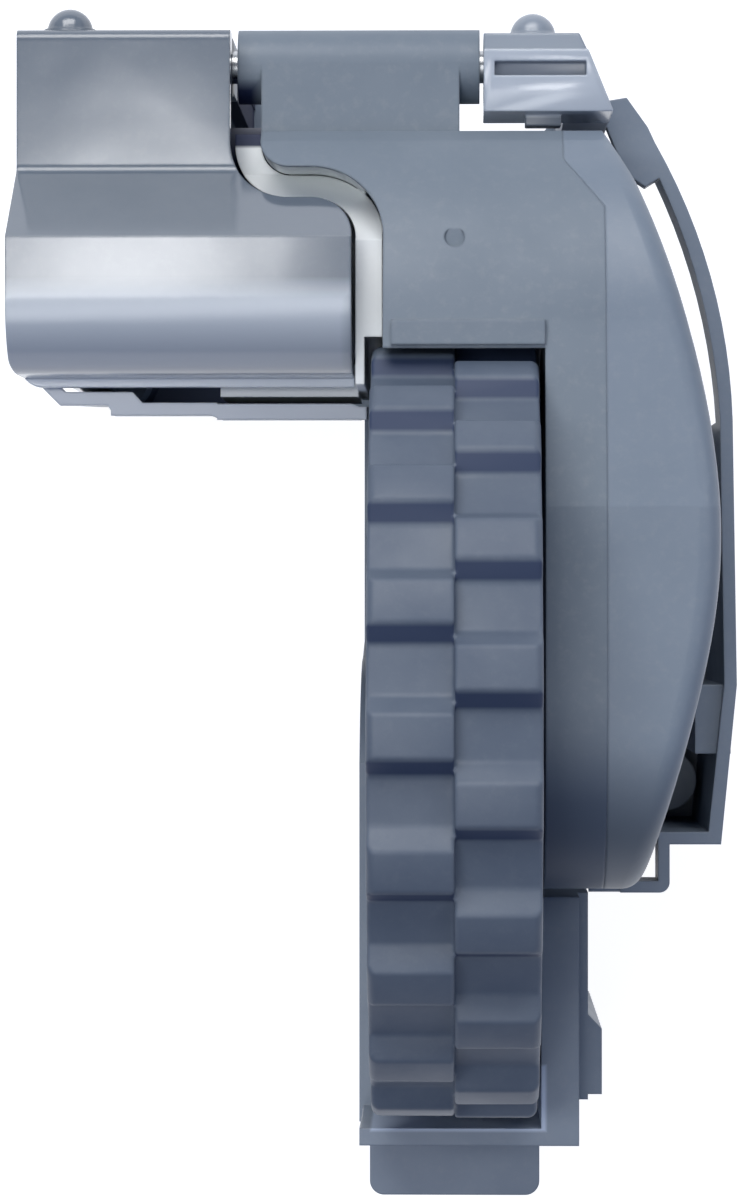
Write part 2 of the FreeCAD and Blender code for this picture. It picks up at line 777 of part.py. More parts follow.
def motor_carrier():
    front_y = bay_front_y + slot_depth + cradle_room
    strip = neck_region(neck_strip_gap, web_low_z(), bulge_z)
    strip = strip.cut(neck_region(neck_strip_gap + neck_strip_width, 0, top_limit()))
    strip = strip.common(box(bay_left_x, 0, motor_y, case_back_y, 0, top_limit()))
    strip = strip.cut(rod(bay_left_x, motor_face_x, motor_y, motor_z, motor_radius + part_gap))
    plate = box(motor_face_x, carrier_plate_x, front_y + plate_setback, case_back_y - 0.2, motor_z - 9, bulge_z)
    disc = rod(motor_face_x, carrier_plate_x, motor_y, motor_z, motor_radius + 1.0)
    disc = disc.cut(box(motor_face_x - 1, 0, case_back_y - 0.2, pivot_y, web_low_z() - 3, top_limit()))
    pad = arm_prism(carrier_plate_x, bay_right_x + neck_strip_gap + neck_strip_width)
    pad = pad.common(box(carrier_plate_x, case_inner_x, motor_y - 20, case_back_y, 0, top_limit()))
    pad = pad.cut(neck_region(neck_strip_gap + neck_strip_width + part_gap, 0, top_limit()))
    pad = pad.cut(wheel_room(bay_left_x, case_inner_x, clearance_radius))
    cradle = box(bay_neck_x - 1.2, motor_face_x, front_y, front_y + 1.3, motor_z - 6.5, lip_top_z - 0.5)
    ring = tube(motor_face_x - 5, motor_face_x, motor_y, motor_z, motor_radius + 1.2, motor_radius + 0.02)
    ring = ring.common(box(bay_left_x, 0, front_y, motor_y, 0, motor_z + 6.5))
    body = fuse([strip, plate, disc, pad, cradle, ring])
    y, z = transfer_centre
    room_above = strip_top_cut()
    beside_arm = neck_region(neck_strip_gap + neck_strip_width + part_gap, web_low_z() - part_gap, top_limit())
    holes = [room_above, beside_arm,
             rod(bay_left_x, motor_face_x, motor_y, motor_z, motor_radius + shaft_play),
             rod(bay_left_x, case_inner_x, motor_y, motor_z, motor_boss_radius),
             rod(bay_left_x, case_inner_x, y, z, transfer_radius + shaft_play)]
    holes += [rod(bay_left_x, case_inner_x, y, z, screw_radius + 0.1) for y, z in motor_screw_places()]
    holes += [rod(carrier_plate_x, case_inner_x, y, z, screw_head_radius) for y, z in motor_screw_places()]
    return cut(body, holes)


def motor_screw_places():
    return [(motor_y, motor_z - 8.0), (motor_y - 6.0, motor_z + 5.5)]


def motor_can():
    can = rod(motor_back_x, motor_face_x, motor_y, motor_z, motor_radius)
    rims = [edge for edge in can.Edges if abs(edge.BoundBox.XLength) < 0.01]
    can = can.makeFillet(1.0, [edge for edge in rims if edge.BoundBox.XMax > motor_back_x + 1])
    boss = rod(motor_face_x, carrier_plate_x, motor_y, motor_z, motor_boss_radius - seat_gap)
    can = can.fuse(boss)
    holes = [rod(motor_back_x - 1, carrier_plate_x + 1, motor_y, motor_z, motor_shaft_radius + shaft_play)]
    holes += [rod(motor_face_x - 2.6, motor_face_x + 1, y, z, screw_radius) for y, z in motor_screw_places()]
    return cut(can, holes)


def motor_end_cap():
    cap = rod(end_cap_back_x, motor_back_x, motor_y, motor_z, motor_radius - 0.8)
    return cap.cut(rod(end_cap_back_x - 1, motor_back_x + 1, motor_y, motor_z, motor_shaft_radius + shaft_play))


def encoder_board():
    board = rod(board_back_x, end_cap_back_x, motor_y, motor_z, board_radius)
    board = board.cut(box(bay_left_x, 0, motor_y - 20, motor_y + 20, motor_z - 20, motor_z - 6.5))
    return board.cut(rod(board_back_x - 1, end_cap_back_x + 1, motor_y, motor_z, magnet_radius + 0.5))


def connector_header():
    body = box(board_back_x - 1.6, board_back_x, motor_y - 5, motor_y + 5, motor_z + 4.2, motor_z + 7.6)
    return body.cut(box(board_back_x - 2, board_back_x - 0.8, motor_y - 4.2, motor_y + 4.2, motor_z + 5, motor_z + 6.8))


def motor_shaft():
    left = end_cap_back_x - 0.2 - magnet_length
    return rod(left, motor_gear_x + motor_gear_width, motor_y, motor_z, motor_shaft_radius)


def encoder_magnet():
    right = end_cap_back_x - 0.2
    return tube(right - magnet_length, right, motor_y, motor_z, magnet_radius, motor_shaft_radius)


def motor_screws():
    screws = []
    for y, z in motor_screw_places():
        head = rod(carrier_plate_x, carrier_plate_x + 0.9, y, z, screw_head_radius - 0.2)
        screws.append(fuse([head, rod(motor_face_x - 2.4, carrier_plate_x, y, z, screw_radius)]))
    return Part.makeCompound(screws)


# Fixed frame

def ear_left_x():
    return bay_neck_x - part_gap - ear_thickness


def bay_foot_y():
    # The front of the bay's low walls, far enough back to stay under the lip
    return bay_front_y + lip_far_step + front_lean - 0.15


def bay_outline():
    return [(bay_left_x, bay_back_y), (bay_neck_x, bay_back_y), (bay_neck_x, bay_foot_y()),
            (bay_left_x + bay_corner - 0.4, bay_foot_y()), (bay_left_x, bay_foot_y() + bay_corner - 0.4)]


def front_stretches():
    # The front under the bay steps back twice towards the outer corner
    return [(lip_near_step_x, lip_end_x, bay_front_y),
            (lip_far_step_x, lip_near_step_x, bay_front_y + lip_near_step),
            (lip_corner_x, lip_far_step_x, bay_front_y + lip_far_step)]


def front_walls():
    walls = []
    for x0, x1, y in front_stretches():
        foot = y + front_lean
        profile = [(y, lip_top_z), (y + thin_wall, lip_top_z), (foot + thin_wall, 0), (foot, 0)]
        walls.append(yz_prism(profile, x0, x1))
    return walls


def lip():
    near = bay_front_y + lip_near_step
    far = bay_front_y + lip_far_step
    back = bay_front_y + slot_depth
    cover_y = bulge_flange_y - seat_gap
    turn_x = bay_left_x + bay_corner - 1.1
    points = [(lip_corner_x, far), (lip_far_step_x - 0.3, far), (lip_far_step_x + 0.3, near),
              (lip_near_step_x - 0.5, near), (lip_near_step_x + 0.5, bay_front_y), (lip_end_x - 0.5, bay_front_y),
              (lip_end_x, bay_front_y + 0.9), (lip_end_x - 1.4, back), (slot_left_x + 0.5, back),
              (slot_left_x - 0.5, cover_y), (turn_x, cover_y), (turn_x - 3.0, cover_y + 3.0),
              (lip_corner_x - 2.7, far + 3.8), (lip_corner_x - 2.7, far + 2.7)]
    return xy_prism(points, lip_top_z - lip_flange, lip_top_z)


def floor_plate():
    points = [(bay_left_x, bay_back_y), (bay_neck_x + 2, bay_back_y), (bay_neck_x + 2, pivot_y - 1.5),
              (post_left_x - 1.2, pivot_y - 1.5), (post_left_x, post_back_y), (post_slope_x, post_back_y),
              (skirt_head_x, post_front_y + 1.4), (skirt_head_x, skirt_side_y), (skirt_side_x - 0.2, skirt_side_y), (skirt_belly_x - 0.2, skirt_belly_y),
              (skirt_foot_x, skirt_foot_y), (skirt_return_x, skirt_foot_y), (tail_ledge_x, tail_cheek_start_y),
              (tail_ledge_x, tail_y + 0.8), (tail_cheek_x, tail_y), (-cheek_outer_x, tail_y)]
    for x0, x1, y in front_stretches():
        points += [(min(x1, -cheek_outer_x), y + front_lean), (x0, y + front_lean)]
    points.append((bay_left_x, bay_foot_y() + bay_corner - 0.4))
    return xy_prism(points, 0, wall)


def skirt_line(inset):
    head = (skirt_head_x - inset * 0.6, skirt_head_y - inset * 0.6)
    bend = (skirt_bend_x - inset, skirt_bend_y - inset * 0.5)
    side = (skirt_side_x - inset, skirt_side_y)
    return head, bend, side


def strap_wall():
    z0 = skirt_top_z - strap_depth
    outer = skirt_line(0.0)
    inner = skirt_line(thin_wall)
    edges = [arc(outer[0] + (z0,), outer[1] + (z0,), outer[2] + (z0,)),
             line(outer[2] + (z0,), inner[2] + (z0,)),
             arc(inner[2] + (z0,), inner[1] + (z0,), inner[0] + (z0,)),
             line(inner[0] + (z0,), outer[0] + (z0,))]
    face = Part.Face(Part.Wire(edges))
    strap = face.extrude(FreeCAD.Vector(0, 0, strap_depth))
    return strap


def strap_head():
    # Joins the strap's head to the pillar, outside the arm's sweep
    bridge = [(post_right_x - 1, post_front_y + 0.3), (post_right_x - 1, post_slope_y + 1.0),
              (skirt_head_x, skirt_head_y), (skirt_head_x + 2.0, post_front_y + 0.3),
              (skirt_head_x + 4.0, post_front_y - 4.0), (skirt_head_x + 1.8, post_front_y - 5.4),
              (skirt_head_x + 0.3, post_front_y - 4.4), (skirt_head_x - 0.5, post_front_y - 3.1),
              (post_right_x + 0.1, post_front_y + 0.3)]
    return xy_prism(bridge, skirt_top_z - strap_head_depth, skirt_top_z)


def guide_tab():
    # A boxed tab on the skirt's inner face that keeps the arm's cover from rubbing
    outer = skirt_belly_x - 0.5
    low = skirt_belly_y - tab_length
    body = box(outer - tab_reach, outer, low, skirt_belly_y, 0, skirt_top_z - 1.5)
    return body.cut(box(outer - tab_reach + 1.0, outer + 1, low + 1.0, skirt_belly_y - 1.0, -1, skirt_top_z - 3.0))


def side_wall():
    outer = [(skirt_side_x, skirt_side_y), (skirt_belly_x, skirt_belly_y), (skirt_foot_x, skirt_foot_y),
             (skirt_return_x, skirt_foot_y)]
    t = thin_wall
    inner = [(skirt_return_x, skirt_foot_y + t), (skirt_foot_x - t, skirt_foot_y + t),
             (skirt_belly_x - t, skirt_belly_y), (skirt_side_x - t, skirt_side_y)]
    return xy_prism(outer + inner, 0, skirt_top_z)


def cable_hook():
    z0 = skirt_top_z - 6.0
    foot_y = skirt_foot_y - hook_drop
    x1 = skirt_return_x + hook_width
    stem = box(skirt_return_x, x1, foot_y, skirt_foot_y + 0.5, z0, skirt_top_z)
    bar = box(skirt_return_x - hook_reach, x1, foot_y, foot_y + hook_width, z0, skirt_top_z)
    knob = rod(skirt_return_x - hook_reach - knob_length, skirt_return_x - hook_reach + 0.2,
               foot_y + knob_radius, skirt_top_z - knob_radius - 0.3, knob_radius)
    hook = fuse([stem, bar])
    corner = [edge for edge in hook.Edges
              if edge.BoundBox.ZLength > 5 and edge.BoundBox.XMin > x1 - 0.1 and edge.BoundBox.YMax < foot_y + 0.1]
    hook = hook.makeFillet(hook_width * 0.9, corner)
    return fuse([hook, knob])


def left_cheek():
    top = left_cheek_top_z
    x0 = -cheek_outer_x
    edges = [line((x0, tail_y, 0), (x0, tail_y, top)),
             line((x0, tail_y, top), (x0, cheek_start_y - 10, top)),
             arc((x0, cheek_start_y - 10, top), (x0, cheek_start_y - 3, top - 6), (x0, cheek_start_y, top - 16)),
             line((x0, cheek_start_y, top - 16), (x0, cheek_start_y + 2, 0)),
             line((x0, cheek_start_y + 2, 0), (x0, tail_y, 0))]
    face = Part.Face(Part.Wire(edges))
    return face.extrude(FreeCAD.Vector(thin_wall, 0, 0))


def tail():
    end_wall = box(-cheek_inner_x - end_wall_overlap, tail_cheek_x, tail_y, tail_y + tail_wall, 0, cheek_top_z)
    end_foot = box(-cheek_outer_x, 0, tail_y, tail_y + tail_wall, 0, left_cheek_top_z)
    cheek = box(cheek_inner_x, tail_cheek_x, tail_y, tail_cheek_start_y, 0, cheek_top_z)
    ledge = box(tail_cheek_x, tail_ledge_x, tail_y + 3.6, tail_cheek_start_y, 0, tail_ledge_z)
    ear = xy_prism([(tail_ledge_x, tail_ear_start_y), (tail_ear_x, tail_ear_start_y - 1.4),
                    (tail_ear_x, tail_ear_end_y), (tail_ledge_x, tail_ear_end_y)], 0, tail_ledge_z)
    hollow = box(cheek_inner_x + thin_wall, tail_cheek_x - thin_wall, tail_y + tail_wall,
                 tail_cheek_start_y - thin_wall, -1, cheek_top_z - wall)
    tongue = box(-tongue_half_width, tongue_half_width, tail_y - tongue_length, tail_y + 0.2,
                 tongue_top_z - tongue_thickness, tongue_top_z)
    corners = [edge for edge in tongue.Edges
               if edge.BoundBox.ZLength > 1 and edge.BoundBox.YMax < tail_y - 1]
    tongue = tongue.makeFillet(1.4, corners)
    gussets = [yz_prism([(tail_y, wall), (tail_y, tongue_top_z - 1), (tail_y - tongue_length + 1.5, tongue_top_z - 1)],
                        x, x + thin_wall) for x in (-6.0, -0.6, 4.8)]
    return fuse([end_wall, end_foot, cheek, ledge, ear, tongue] + gussets).cut(hollow)


def chassis_bosses():
    return [(bay_left_x + 5.2, bay_back_y - 5.6), (bay_left_x + 6.4, bay_front_y + 5.6),
            (skirt_side_x - 5.2, skirt_side_y - 4.6), (skirt_foot_x - 4.4, skirt_foot_y + 5.4)]


def base_frame():
    floor = floor_plate()
    bay_wall = xy_prism(bay_outline(), 0, bay_split_z).cut(xy_prism(bay_inside(), -1, bay_split_z + 1))
    left_ear = box(ear_left_x(), bay_neck_x - part_gap, pivot_y - ear_radius + 0.5, pivot_y + ear_radius, 0, pivot_z)
    left_ear = left_ear.fuse(rod(ear_left_x(), bay_neck_x - part_gap, pivot_y, pivot_z, ear_radius))
    pillar = xy_prism([(post_left_x, post_front_y), (post_right_x, post_front_y), (post_right_x - 0.2, post_slope_y),
                       (post_slope_x, post_back_y), (post_left_x, post_back_y)], 0, post_top_z)
    gusset = yz_prism([(post_front_y, wall), (post_front_y, post_top_z - 8), (post_front_y - 8, wall)],
                      post_left_x + 1, post_left_x + 1 + thin_wall)
    low_wall = xy_prism([(skirt_return_x + thin_wall, skirt_foot_y), (skirt_return_x, skirt_foot_y),
                         (tail_ledge_x, tail_cheek_start_y), (tail_cheek_x, tail_cheek_start_y - thin_wall),
                         (tail_cheek_x, tail_cheek_start_y + thin_wall * 0.5),
                         (skirt_return_x + thin_wall, skirt_foot_y + thin_wall)], 0, low_wall_z)
    upright = box(skirt_head_x - thin_wall, skirt_head_x, skirt_side_y, post_front_y + 0.5, 0, 9.0)
    ledge = box(skirt_head_x - thin_wall, skirt_side_x - 0.1, skirt_side_y - thin_wall, skirt_side_y, 0, 9.0)
    bosses = [post(x, y, 0, boss_height, boss_radius) for x, y in chassis_bosses()]
    bosses += [post(x, y, 0, bay_split_z, cover_post_radius) for x, y in cover_posts()]
    spigot = post(spring_x, spring_y, 0, wall + 4, spring_radius - spring_wire_radius - seat_gap)
    pedestal = box(switch_x - switch_width / 2, switch_x + switch_width / 2, switch_y - switch_length / 2,
                   switch_y + switch_length / 2, 0, switch_floor_z())
    pedestal_hollow = box(switch_x - switch_width / 2 + 1, switch_x + switch_width / 2 - 1,
                          switch_y - switch_length / 2 + 1, switch_y + switch_length / 2 - 1, -1,
                          switch_floor_z() - 1.5)
    body = fuse([floor, bay_wall, lip(), left_ear, pillar, gusset, strap_wall(), strap_head(), side_wall(),
                 guide_tab(), cable_hook(), left_cheek(), tail(), low_wall, upright, ledge, spigot, pedestal]
                + front_walls() + bosses)
    sweep_relief = box(-cheek_inner_x, cheek_inner_x, -relief_length / 2, relief_length / 2, relief_floor_z, wall + 1)
    holes = [rod(bay_left_x, bay_neck_x, pivot_y, pivot_z, pivot_pin_radius), pedestal_hollow, sweep_relief]
    holes += [post(x, y, -1, boss_hole_depth, boss_hole_radius) for x, y in chassis_bosses()]
    for x, y in cover_posts():
        holes.append(post(x, y, -1, bay_split_z + 4, screw_radius + 0.1))
        holes.append(post(x, y, -1, bay_split_z - screw_seat_depth, screw_head_radius + 0.1))
    x, y = bracket_screw_place()
    holes.append(post(x, y, -1, post_top_z + 1, bracket_screw_radius + 0.1))
    holes.append(post(x, y, -1, bracket_screw_seat(), bracket_head_radius + 0.1))
    return cut(body, holes)


def bay_inside():
    # Open at the front, where the leaning walls close the bay
    left = bay_left_x + wall
    front = bay_foot_y() - 1
    corner = bay_foot_y() + bay_corner + 0.04
    return [(left, bay_back_y - wall), (bay_neck_x + 5, bay_back_y - wall), (bay_neck_x + 5, front),
            (left + corner - front, front), (left, corner)]


def switch_floor_z():
    return case_floor_z - seat_gap - plunger_reach - switch_height


def bracket_screw_seat():
    return post_top_z - 2 * screw_seat_depth


def bracket_screw_place():
    return (bracket_screw_x, bracket_screw_y)


def bay_profile(inset):
    # Cover of the motor bay seen along the axle: top panel, slope, bulge over the motor and front wall
    x = bay_left_x
    back = bay_back_y - inset
    top = bay_top_z - inset
    roof = bulge_z - inset
    front = bulge_front_y + inset
    radius = bulge_round - inset
    lift = inset * (math.hypot(1, slope_ratio()) - 1) / slope_ratio()
    top_y = bay_slope_top_y - lift
    foot_y = bay_slope_foot_y - lift
    diagonal = math.sqrt(0.5)
    low = bay_split_z
    edges = [line((x, back, low), (x, back, top)),
             line((x, back, top), (x, top_y, top)),
             line((x, top_y, top), (x, foot_y, roof)),
             line((x, foot_y, roof), (x, front + radius, roof)),
             arc((x, front + radius, roof), (x, front + radius * (1 - diagonal), roof - radius * (1 - diagonal)),
                 (x, front, roof - radius)),
             line((x, front, roof - radius), (x, front, low)),
             line((x, front, low), (x, back, low))]
    return Part.Face(Part.Wire(edges))


def motor_bay_cover():
    span = bay_right_x - bay_left_x
    outer = bay_profile(0.0).extrude(FreeCAD.Vector(span, 0, 0))
    inner = bay_profile(wall)
    inner.translate(FreeCAD.Vector(wall, 0, 0))
    room = inner.extrude(FreeCAD.Vector(span, 0, 0))
    room = room.fuse(box(bay_left_x + wall, 0, bulge_front_y + wall, bay_back_y - wall, 0, bay_split_z + 1))
    front_gap = box(bay_left_x + bay_corner + wall, 0, bulge_front_y - 1, bulge_front_y + wall + 0.01,
                    0, bulge_wall_foot_z)
    flange = box(bay_left_x, bay_right_x, bulge_flange_y, bulge_front_y + 0.5,
                 bulge_wall_foot_z, bulge_wall_foot_z + 1.5)
    block = fuse([outer, flange])
    back_edges = [edge for edge in block.Edges
                  if edge.BoundBox.XLength > 20 and edge.BoundBox.ZMin > bay_top_z - 0.1
                  and edge.BoundBox.YMin > bay_slope_top_y - 0.1]
    block = block.makeFillet(1.0, back_edges)
    corner_cut = xy_prism([(bay_left_x - 1, bulge_flange_y - 1), (bay_left_x + bay_corner + 1, bulge_flange_y - 1),
                           (bay_left_x - 1, bulge_flange_y + bay_corner + 1)], 0, bulge_wall_foot_z)
    r = bay_outer_round
    corner_x = bay_left_x + r
    corner_y = bulge_flange_y + r
    square = box(bay_left_x - 1, corner_x, bulge_flange_y - 1, corner_y, bulge_wall_foot_z - 1, top_limit())
    round_cut = square.cut(post(corner_x, corner_y, 0, top_limit(), r))
    block = cut(block, [room, front_gap, corner_cut, round_cut, neck_region(0.0, 0, top_limit())])
    corner_wall = xy_prism([(bay_left_x, bulge_flange_y + bay_corner - 1),
                            (bay_left_x + bay_corner - 1, bulge_flange_y),
                            (bay_left_x + bay_corner + wall, bulge_flange_y),
                            (bay_left_x + wall, bulge_flange_y + bay_corner + wall)], bay_split_z, bulge_z - 4)
    corner_wall = corner_wall.common(outer)
    block = fuse([block, corner_wall])
    peg = nub(left_peg_x, bay_back_y, bay_top_z - peg_radius - 1.2)
    posts = [post(x, y, bay_split_z, bay_top_z - 1, cover_post_radius) for x, y in cover_posts()]
    block = fuse([block, peg] + posts)
    holes = [post(x, y, 0, bay_split_z + screw_reach + 1, screw_radius) for x, y in cover_posts()]
    holes.append(box(ear_left_x() - 2.4, bay_neck_x + 1, pivot_y - ear_radius - 1, bay_back_y + 1,
                     0, pivot_z + ear_radius + seat_gap))
    return cut(block, holes)


def cover_posts():
    return [(bay_left_x + cover_post_from_side, pivot_y - part_gap)]


def cover_screw():
    screws = []
    for x, y in cover_posts():
        seat = bay_split_z - screw_seat_depth
        head = post(x, y, seat - screw_head_height, seat, screw_head_radius)
        screws.append(fuse([head, post(x, y, seat, bay_split_z + screw_reach, screw_radius)]))
    return Part.makeCompound(screws)


def nub(x, y, z):
    # A round-ended locating nub that stands out of the back wall
    axis = FreeCAD.Vector(0, 1, 0)
    collar = Part.makeCylinder(peg_radius + peg_collar, peg_collar, FreeCAD.Vector(x, y, z), axis)
    dome = Part.makeSphere(peg_radius, FreeCAD.Vector(x, y + 0.1, z), axis, 0, 90)
    return collar.fuse(dome)


def pivot_bracket():
    plan = [(bracket_left_x, bracket_back_y), (bracket_corner_x, bracket_back_y),
            (bracket_shoulder_x, bracket_shoulder_y), (bracket_right_x, bracket_front_y),
            (bracket_left_x, bracket_front_y)]
    body = xy_prism(plan, post_top_z, bracket_top_z)
    step = box(bracket_left_x - 1, bracket_right_x, bracket_shoulder_y + 0.3, bracket_back_y + 1,
               bracket_top_z - 1.2, bracket_top_z + 1)
    pocket = box(bracket_left_x + bracket_rim, bracket_shoulder_x - 0.3, bracket_shoulder_y - 2.1,
                 bracket_shoulder_y - 0.8, bracket_top_z - 1.6, bracket_top_z + 1)
    tread = box(bracket_left_x + 3.8, bracket_left_x + 7.1, bracket_front_y - 1.1, bracket_front_y + 0.2,
                bracket_top_z - 4.5, bracket_top_z - 2.2)
    body = fuse([body, tread, nub(right_peg_x, bracket_back_y, pivot_z + 0.6)])
    x, y = bracket_screw_place()
    under = box(bracket_left_x + 3.4, post_left_x - 1.2, bracket_front_y + 1.4, bracket_back_y - 1.2,
                post_top_z - 1, post_top_z + 1.6)
    holes = [step, pocket, under,
             rod(bracket_left_x - 1, bracket_left_x + 7.0, pivot_y, pivot_z, pivot_pin_radius),
             post(x, y, post_top_z - 1, bracket_screw_seat() + bracket_screw_reach + 0.4, bracket_screw_radius)]
    return cut(body, holes)


def pivot_pin():
    left = ear_left_x() - 1.6
    pin = rod(left, bracket_left_x + 7.0, pivot_y, pivot_z, pivot_pin_radius)
    groove = tube(left + 0.6, left + 1.2, pivot_y, pivot_z, pivot_pin_radius + 1, pivot_pin_radius - 0.4)
    return pin.cut(groove)


def pin_clip():
    left = ear_left_x() - 1.0
    clip = tube(left, left + 0.6, pivot_y, pivot_z, pivot_pin_radius + 1.0, pivot_pin_radius - 0.4)
    return clip.cut(box(left - 1, left + 1, pivot_y - 0.9, pivot_y + 0.9, pivot_z, pivot_z + 4))


def bracket_screw():
    x, y = bracket_screw_place()
    seat = bracket_screw_seat()
    head = post(x, y, seat - screw_head_height, seat, bracket_head_radius)
    return fuse([head, post(x, y, seat, seat + bracket_screw_reach, bracket_screw_radius)])


def suspension_spring():
    low = wall + spring_wire_radius
    high = case_floor_z - seat_gap - spring_wire_radius
    pitch = (high - low) / spring_turns
    helix = Part.makeHelix(pitch, high - low, spring_radius)
    helix.translate(FreeCAD.Vector(spring_x, spring_y, low))
    start = FreeCAD.Vector(spring_x + spring_radius, spring_y, low)
    section = Part.Wire([Part.makeCircle(spring_wire_radius, start, FreeCAD.Vector(0, 1, 0))])
    return Part.Wire(helix.Edges).makePipeShell([section], True, True)


def drop_switch():
    z0 = switch_floor_z()
    body = box(switch_x - switch_width / 2, switch_x + switch_width / 2, switch_y - switch_length / 2,
               switch_y + switch_length / 2, z0, z0 + switch_height)
    well = 2 * plunger_travel
    return body.cut(post(switch_x, switch_y, z0 + switch_height - well, z0 + switch_height + 1,
                         plunger_radius + shaft_play))


def switch_plunger():
    top = case_floor_z - seat_gap
    return post(switch_x, switch_y, top - plunger_reach - 1.5, top, plunger_radius)


builders = {
    "base_frame": base_frame,
    "motor_bay_cover": motor_bay_cover,
    "pivot_bracket": pivot_bracket,
    "pivot_pin": pivot_pin,
    "pin_clip": pin_clip,
    "bracket_screw": bracket_screw,
    "cover_screw": cover_screw,
    "suspension_spring": suspension_spring,
    "drop_switch": drop_switch,
    "switch_plunger": switch_plunger,
    "arm_case": arm_case,
    "gear_cover": gear_cover,
    "motor_carrier": motor_carrier,
    "gear_pins": gear_pins,
    "inner_bearing": inner_bearing,
    "outer_bearing": outer_bearing,
    "case_screws": case_screws,
    "motor_can": motor_can,
    "motor_end_cap": motor_end_cap,
    "encoder_board": encoder_board,
    "connector_header": connector_header,
    "motor_screws": motor_screws,
    "motor_shaft": motor_shaft,
    "motor_pinion": motor_pinion,
    "encoder_magnet": encoder_magnet,
    "transfer_shaft": transfer_shaft,
    "first_gear": first_gear,
    "transfer_pinion": transfer_pinion,
    "second_gear": second_gear,
    "third_gear": third_gear,
    "output_gear": output_gear,
    "output_shaft": output_shaft,
    "tyre": tyre,
    "wheel_hub": wheel_hub,
    "wheel_screw": wheel_screw,
}

os.makedirs("parts", exist_ok=True)
for name, build in builders.items():
    shape = build()
    shape.exportStep("parts/" + name + ".step")
    print(name, shape.isValid(), len(shape.Solids), round(shape.Volume, 1))
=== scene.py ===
import bpy
import math
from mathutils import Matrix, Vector


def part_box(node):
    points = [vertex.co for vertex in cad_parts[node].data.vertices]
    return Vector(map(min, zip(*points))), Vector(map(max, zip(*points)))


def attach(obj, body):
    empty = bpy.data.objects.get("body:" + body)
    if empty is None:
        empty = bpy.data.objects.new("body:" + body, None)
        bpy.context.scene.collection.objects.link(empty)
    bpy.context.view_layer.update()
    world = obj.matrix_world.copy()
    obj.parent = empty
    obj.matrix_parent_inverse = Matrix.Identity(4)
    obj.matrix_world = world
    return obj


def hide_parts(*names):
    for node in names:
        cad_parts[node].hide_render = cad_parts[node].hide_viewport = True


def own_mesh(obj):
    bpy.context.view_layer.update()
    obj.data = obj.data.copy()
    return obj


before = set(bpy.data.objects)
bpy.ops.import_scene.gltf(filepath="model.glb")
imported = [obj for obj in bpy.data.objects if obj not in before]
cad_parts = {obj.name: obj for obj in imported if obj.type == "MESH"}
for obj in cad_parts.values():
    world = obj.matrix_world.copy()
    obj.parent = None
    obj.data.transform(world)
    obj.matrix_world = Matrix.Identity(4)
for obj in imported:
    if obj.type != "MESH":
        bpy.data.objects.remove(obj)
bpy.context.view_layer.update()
mm = 0.001
print("frame loaded with", len(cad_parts), "nodes")


# Camera, straight above the wheel, a little off its middle

cameraSetup = {"aboveAxle": 385 * mm, "aimLeft": 7.6 * mm, "standY": 11.8 * mm, "focal": 127.0}


def addCamera():
    low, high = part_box("tyre")
    axleZ = (low.z + high.z) / 2
    data = bpy.data.cameras.new("benchCamera")
    data.lens = cameraSetup["focal"]
    camera = bpy.data.objects.new("benchCamera", data)
    camera.location = (0, cameraSetup["standY"], axleZ + cameraSetup["aboveAxle"])
    turn = math.atan2(cameraSetup["aimLeft"], cameraSetup["aboveAxle"])
    camera.rotation_euler = (0, turn, 0)
    bpy.context.scene.collection.objects.link(camera)
    bpy.context.scene.camera = camera


addCamera()
bpy.context.scene.view_settings.view_transform = "Standard"
print("camera placed")


# Node helpers

nodeGap = (200, 160)   # how far apart nodes stand in the editor


def addNode(tree, kind, place, values=None, **settings):
    node = tree.nodes.new(kind)
    node.location = (place[0] * nodeGap[0], place[1] * nodeGap[1])
    for name, value in settings.items():
        setattr(node, name, value)
    for name, value in (values or {}).items():
        node.inputs[name].default_value = value
    return node


def plug(tree, source, socket):
    # A link from another node, or a plain value
    if isinstance(source, bpy.types.NodeSocket):
        tree.links.new(source, socket)
    else:
        socket.default_value = source


def addMath(tree, place, operation, first, second):
    node = addNode(tree, "ShaderNodeMath", place, operation=operation)
    plug(tree, first, node.inputs[0])
    plug(tree, second, node.inputs[1])
    return node.outputs["Value"]


def addVectorMath(tree, place, operation, *sources):
    node = addNode(tree, "ShaderNodeVectorMath", place, operation=operation)
    for source, socket in zip(sources, node.inputs):
        plug(tree, source, socket)
    return node.outputs["Value" if operation in ("LENGTH", "DOT_PRODUCT") else "Vector"]


def addRange(tree, place, source, limits):
    # 0 at the first limit and 1 at the second
    node = addNode(tree, "ShaderNodeMapRange", place)
    plug(tree, source, node.inputs["Value"])
    plug(tree, limits[0], node.inputs["From Min"])
    plug(tree, limits[1], node.inputs["From Max"])
    return node.outputs["Result"]


def addNoise(tree, place, source, values):
    noise = addNode(tree, "ShaderNodeTexNoise", place, values)
    tree.links.new(source, noise.inputs["Vector"])
    return noise


def mixColour(tree, place, factor, first, second):
    mix = addNode(tree, "ShaderNodeMix", place, data_type="RGBA")
    plug(tree, factor, mix.inputs["Factor"])
    plug(tree, first, mix.inputs["A"])
    plug(tree, second, mix.inputs["B"])
    return mix.outputs["Result"]


def newGroup(name, inputs, outputs):
    group = bpy.data.node_groups.new(name, "ShaderNodeTree")
    for socketName, kind, value in inputs:
        socket = group.interface.new_socket(socketName, in_out="INPUT", socket_type=kind)
        socket.default_value = value
    for socketName, kind in outputs:
        group.interface.new_socket(socketName, in_out="OUTPUT", socket_type=kind)
    entry = addNode(group, "NodeGroupInput", (-5, 0))
    leave = addNode(group, "NodeGroupOutput", (5, 0))
    return group, entry.outputs, leave.inputs


def rgba(colour):
    return (colour[0], colour[1], colour[2], 1.0)
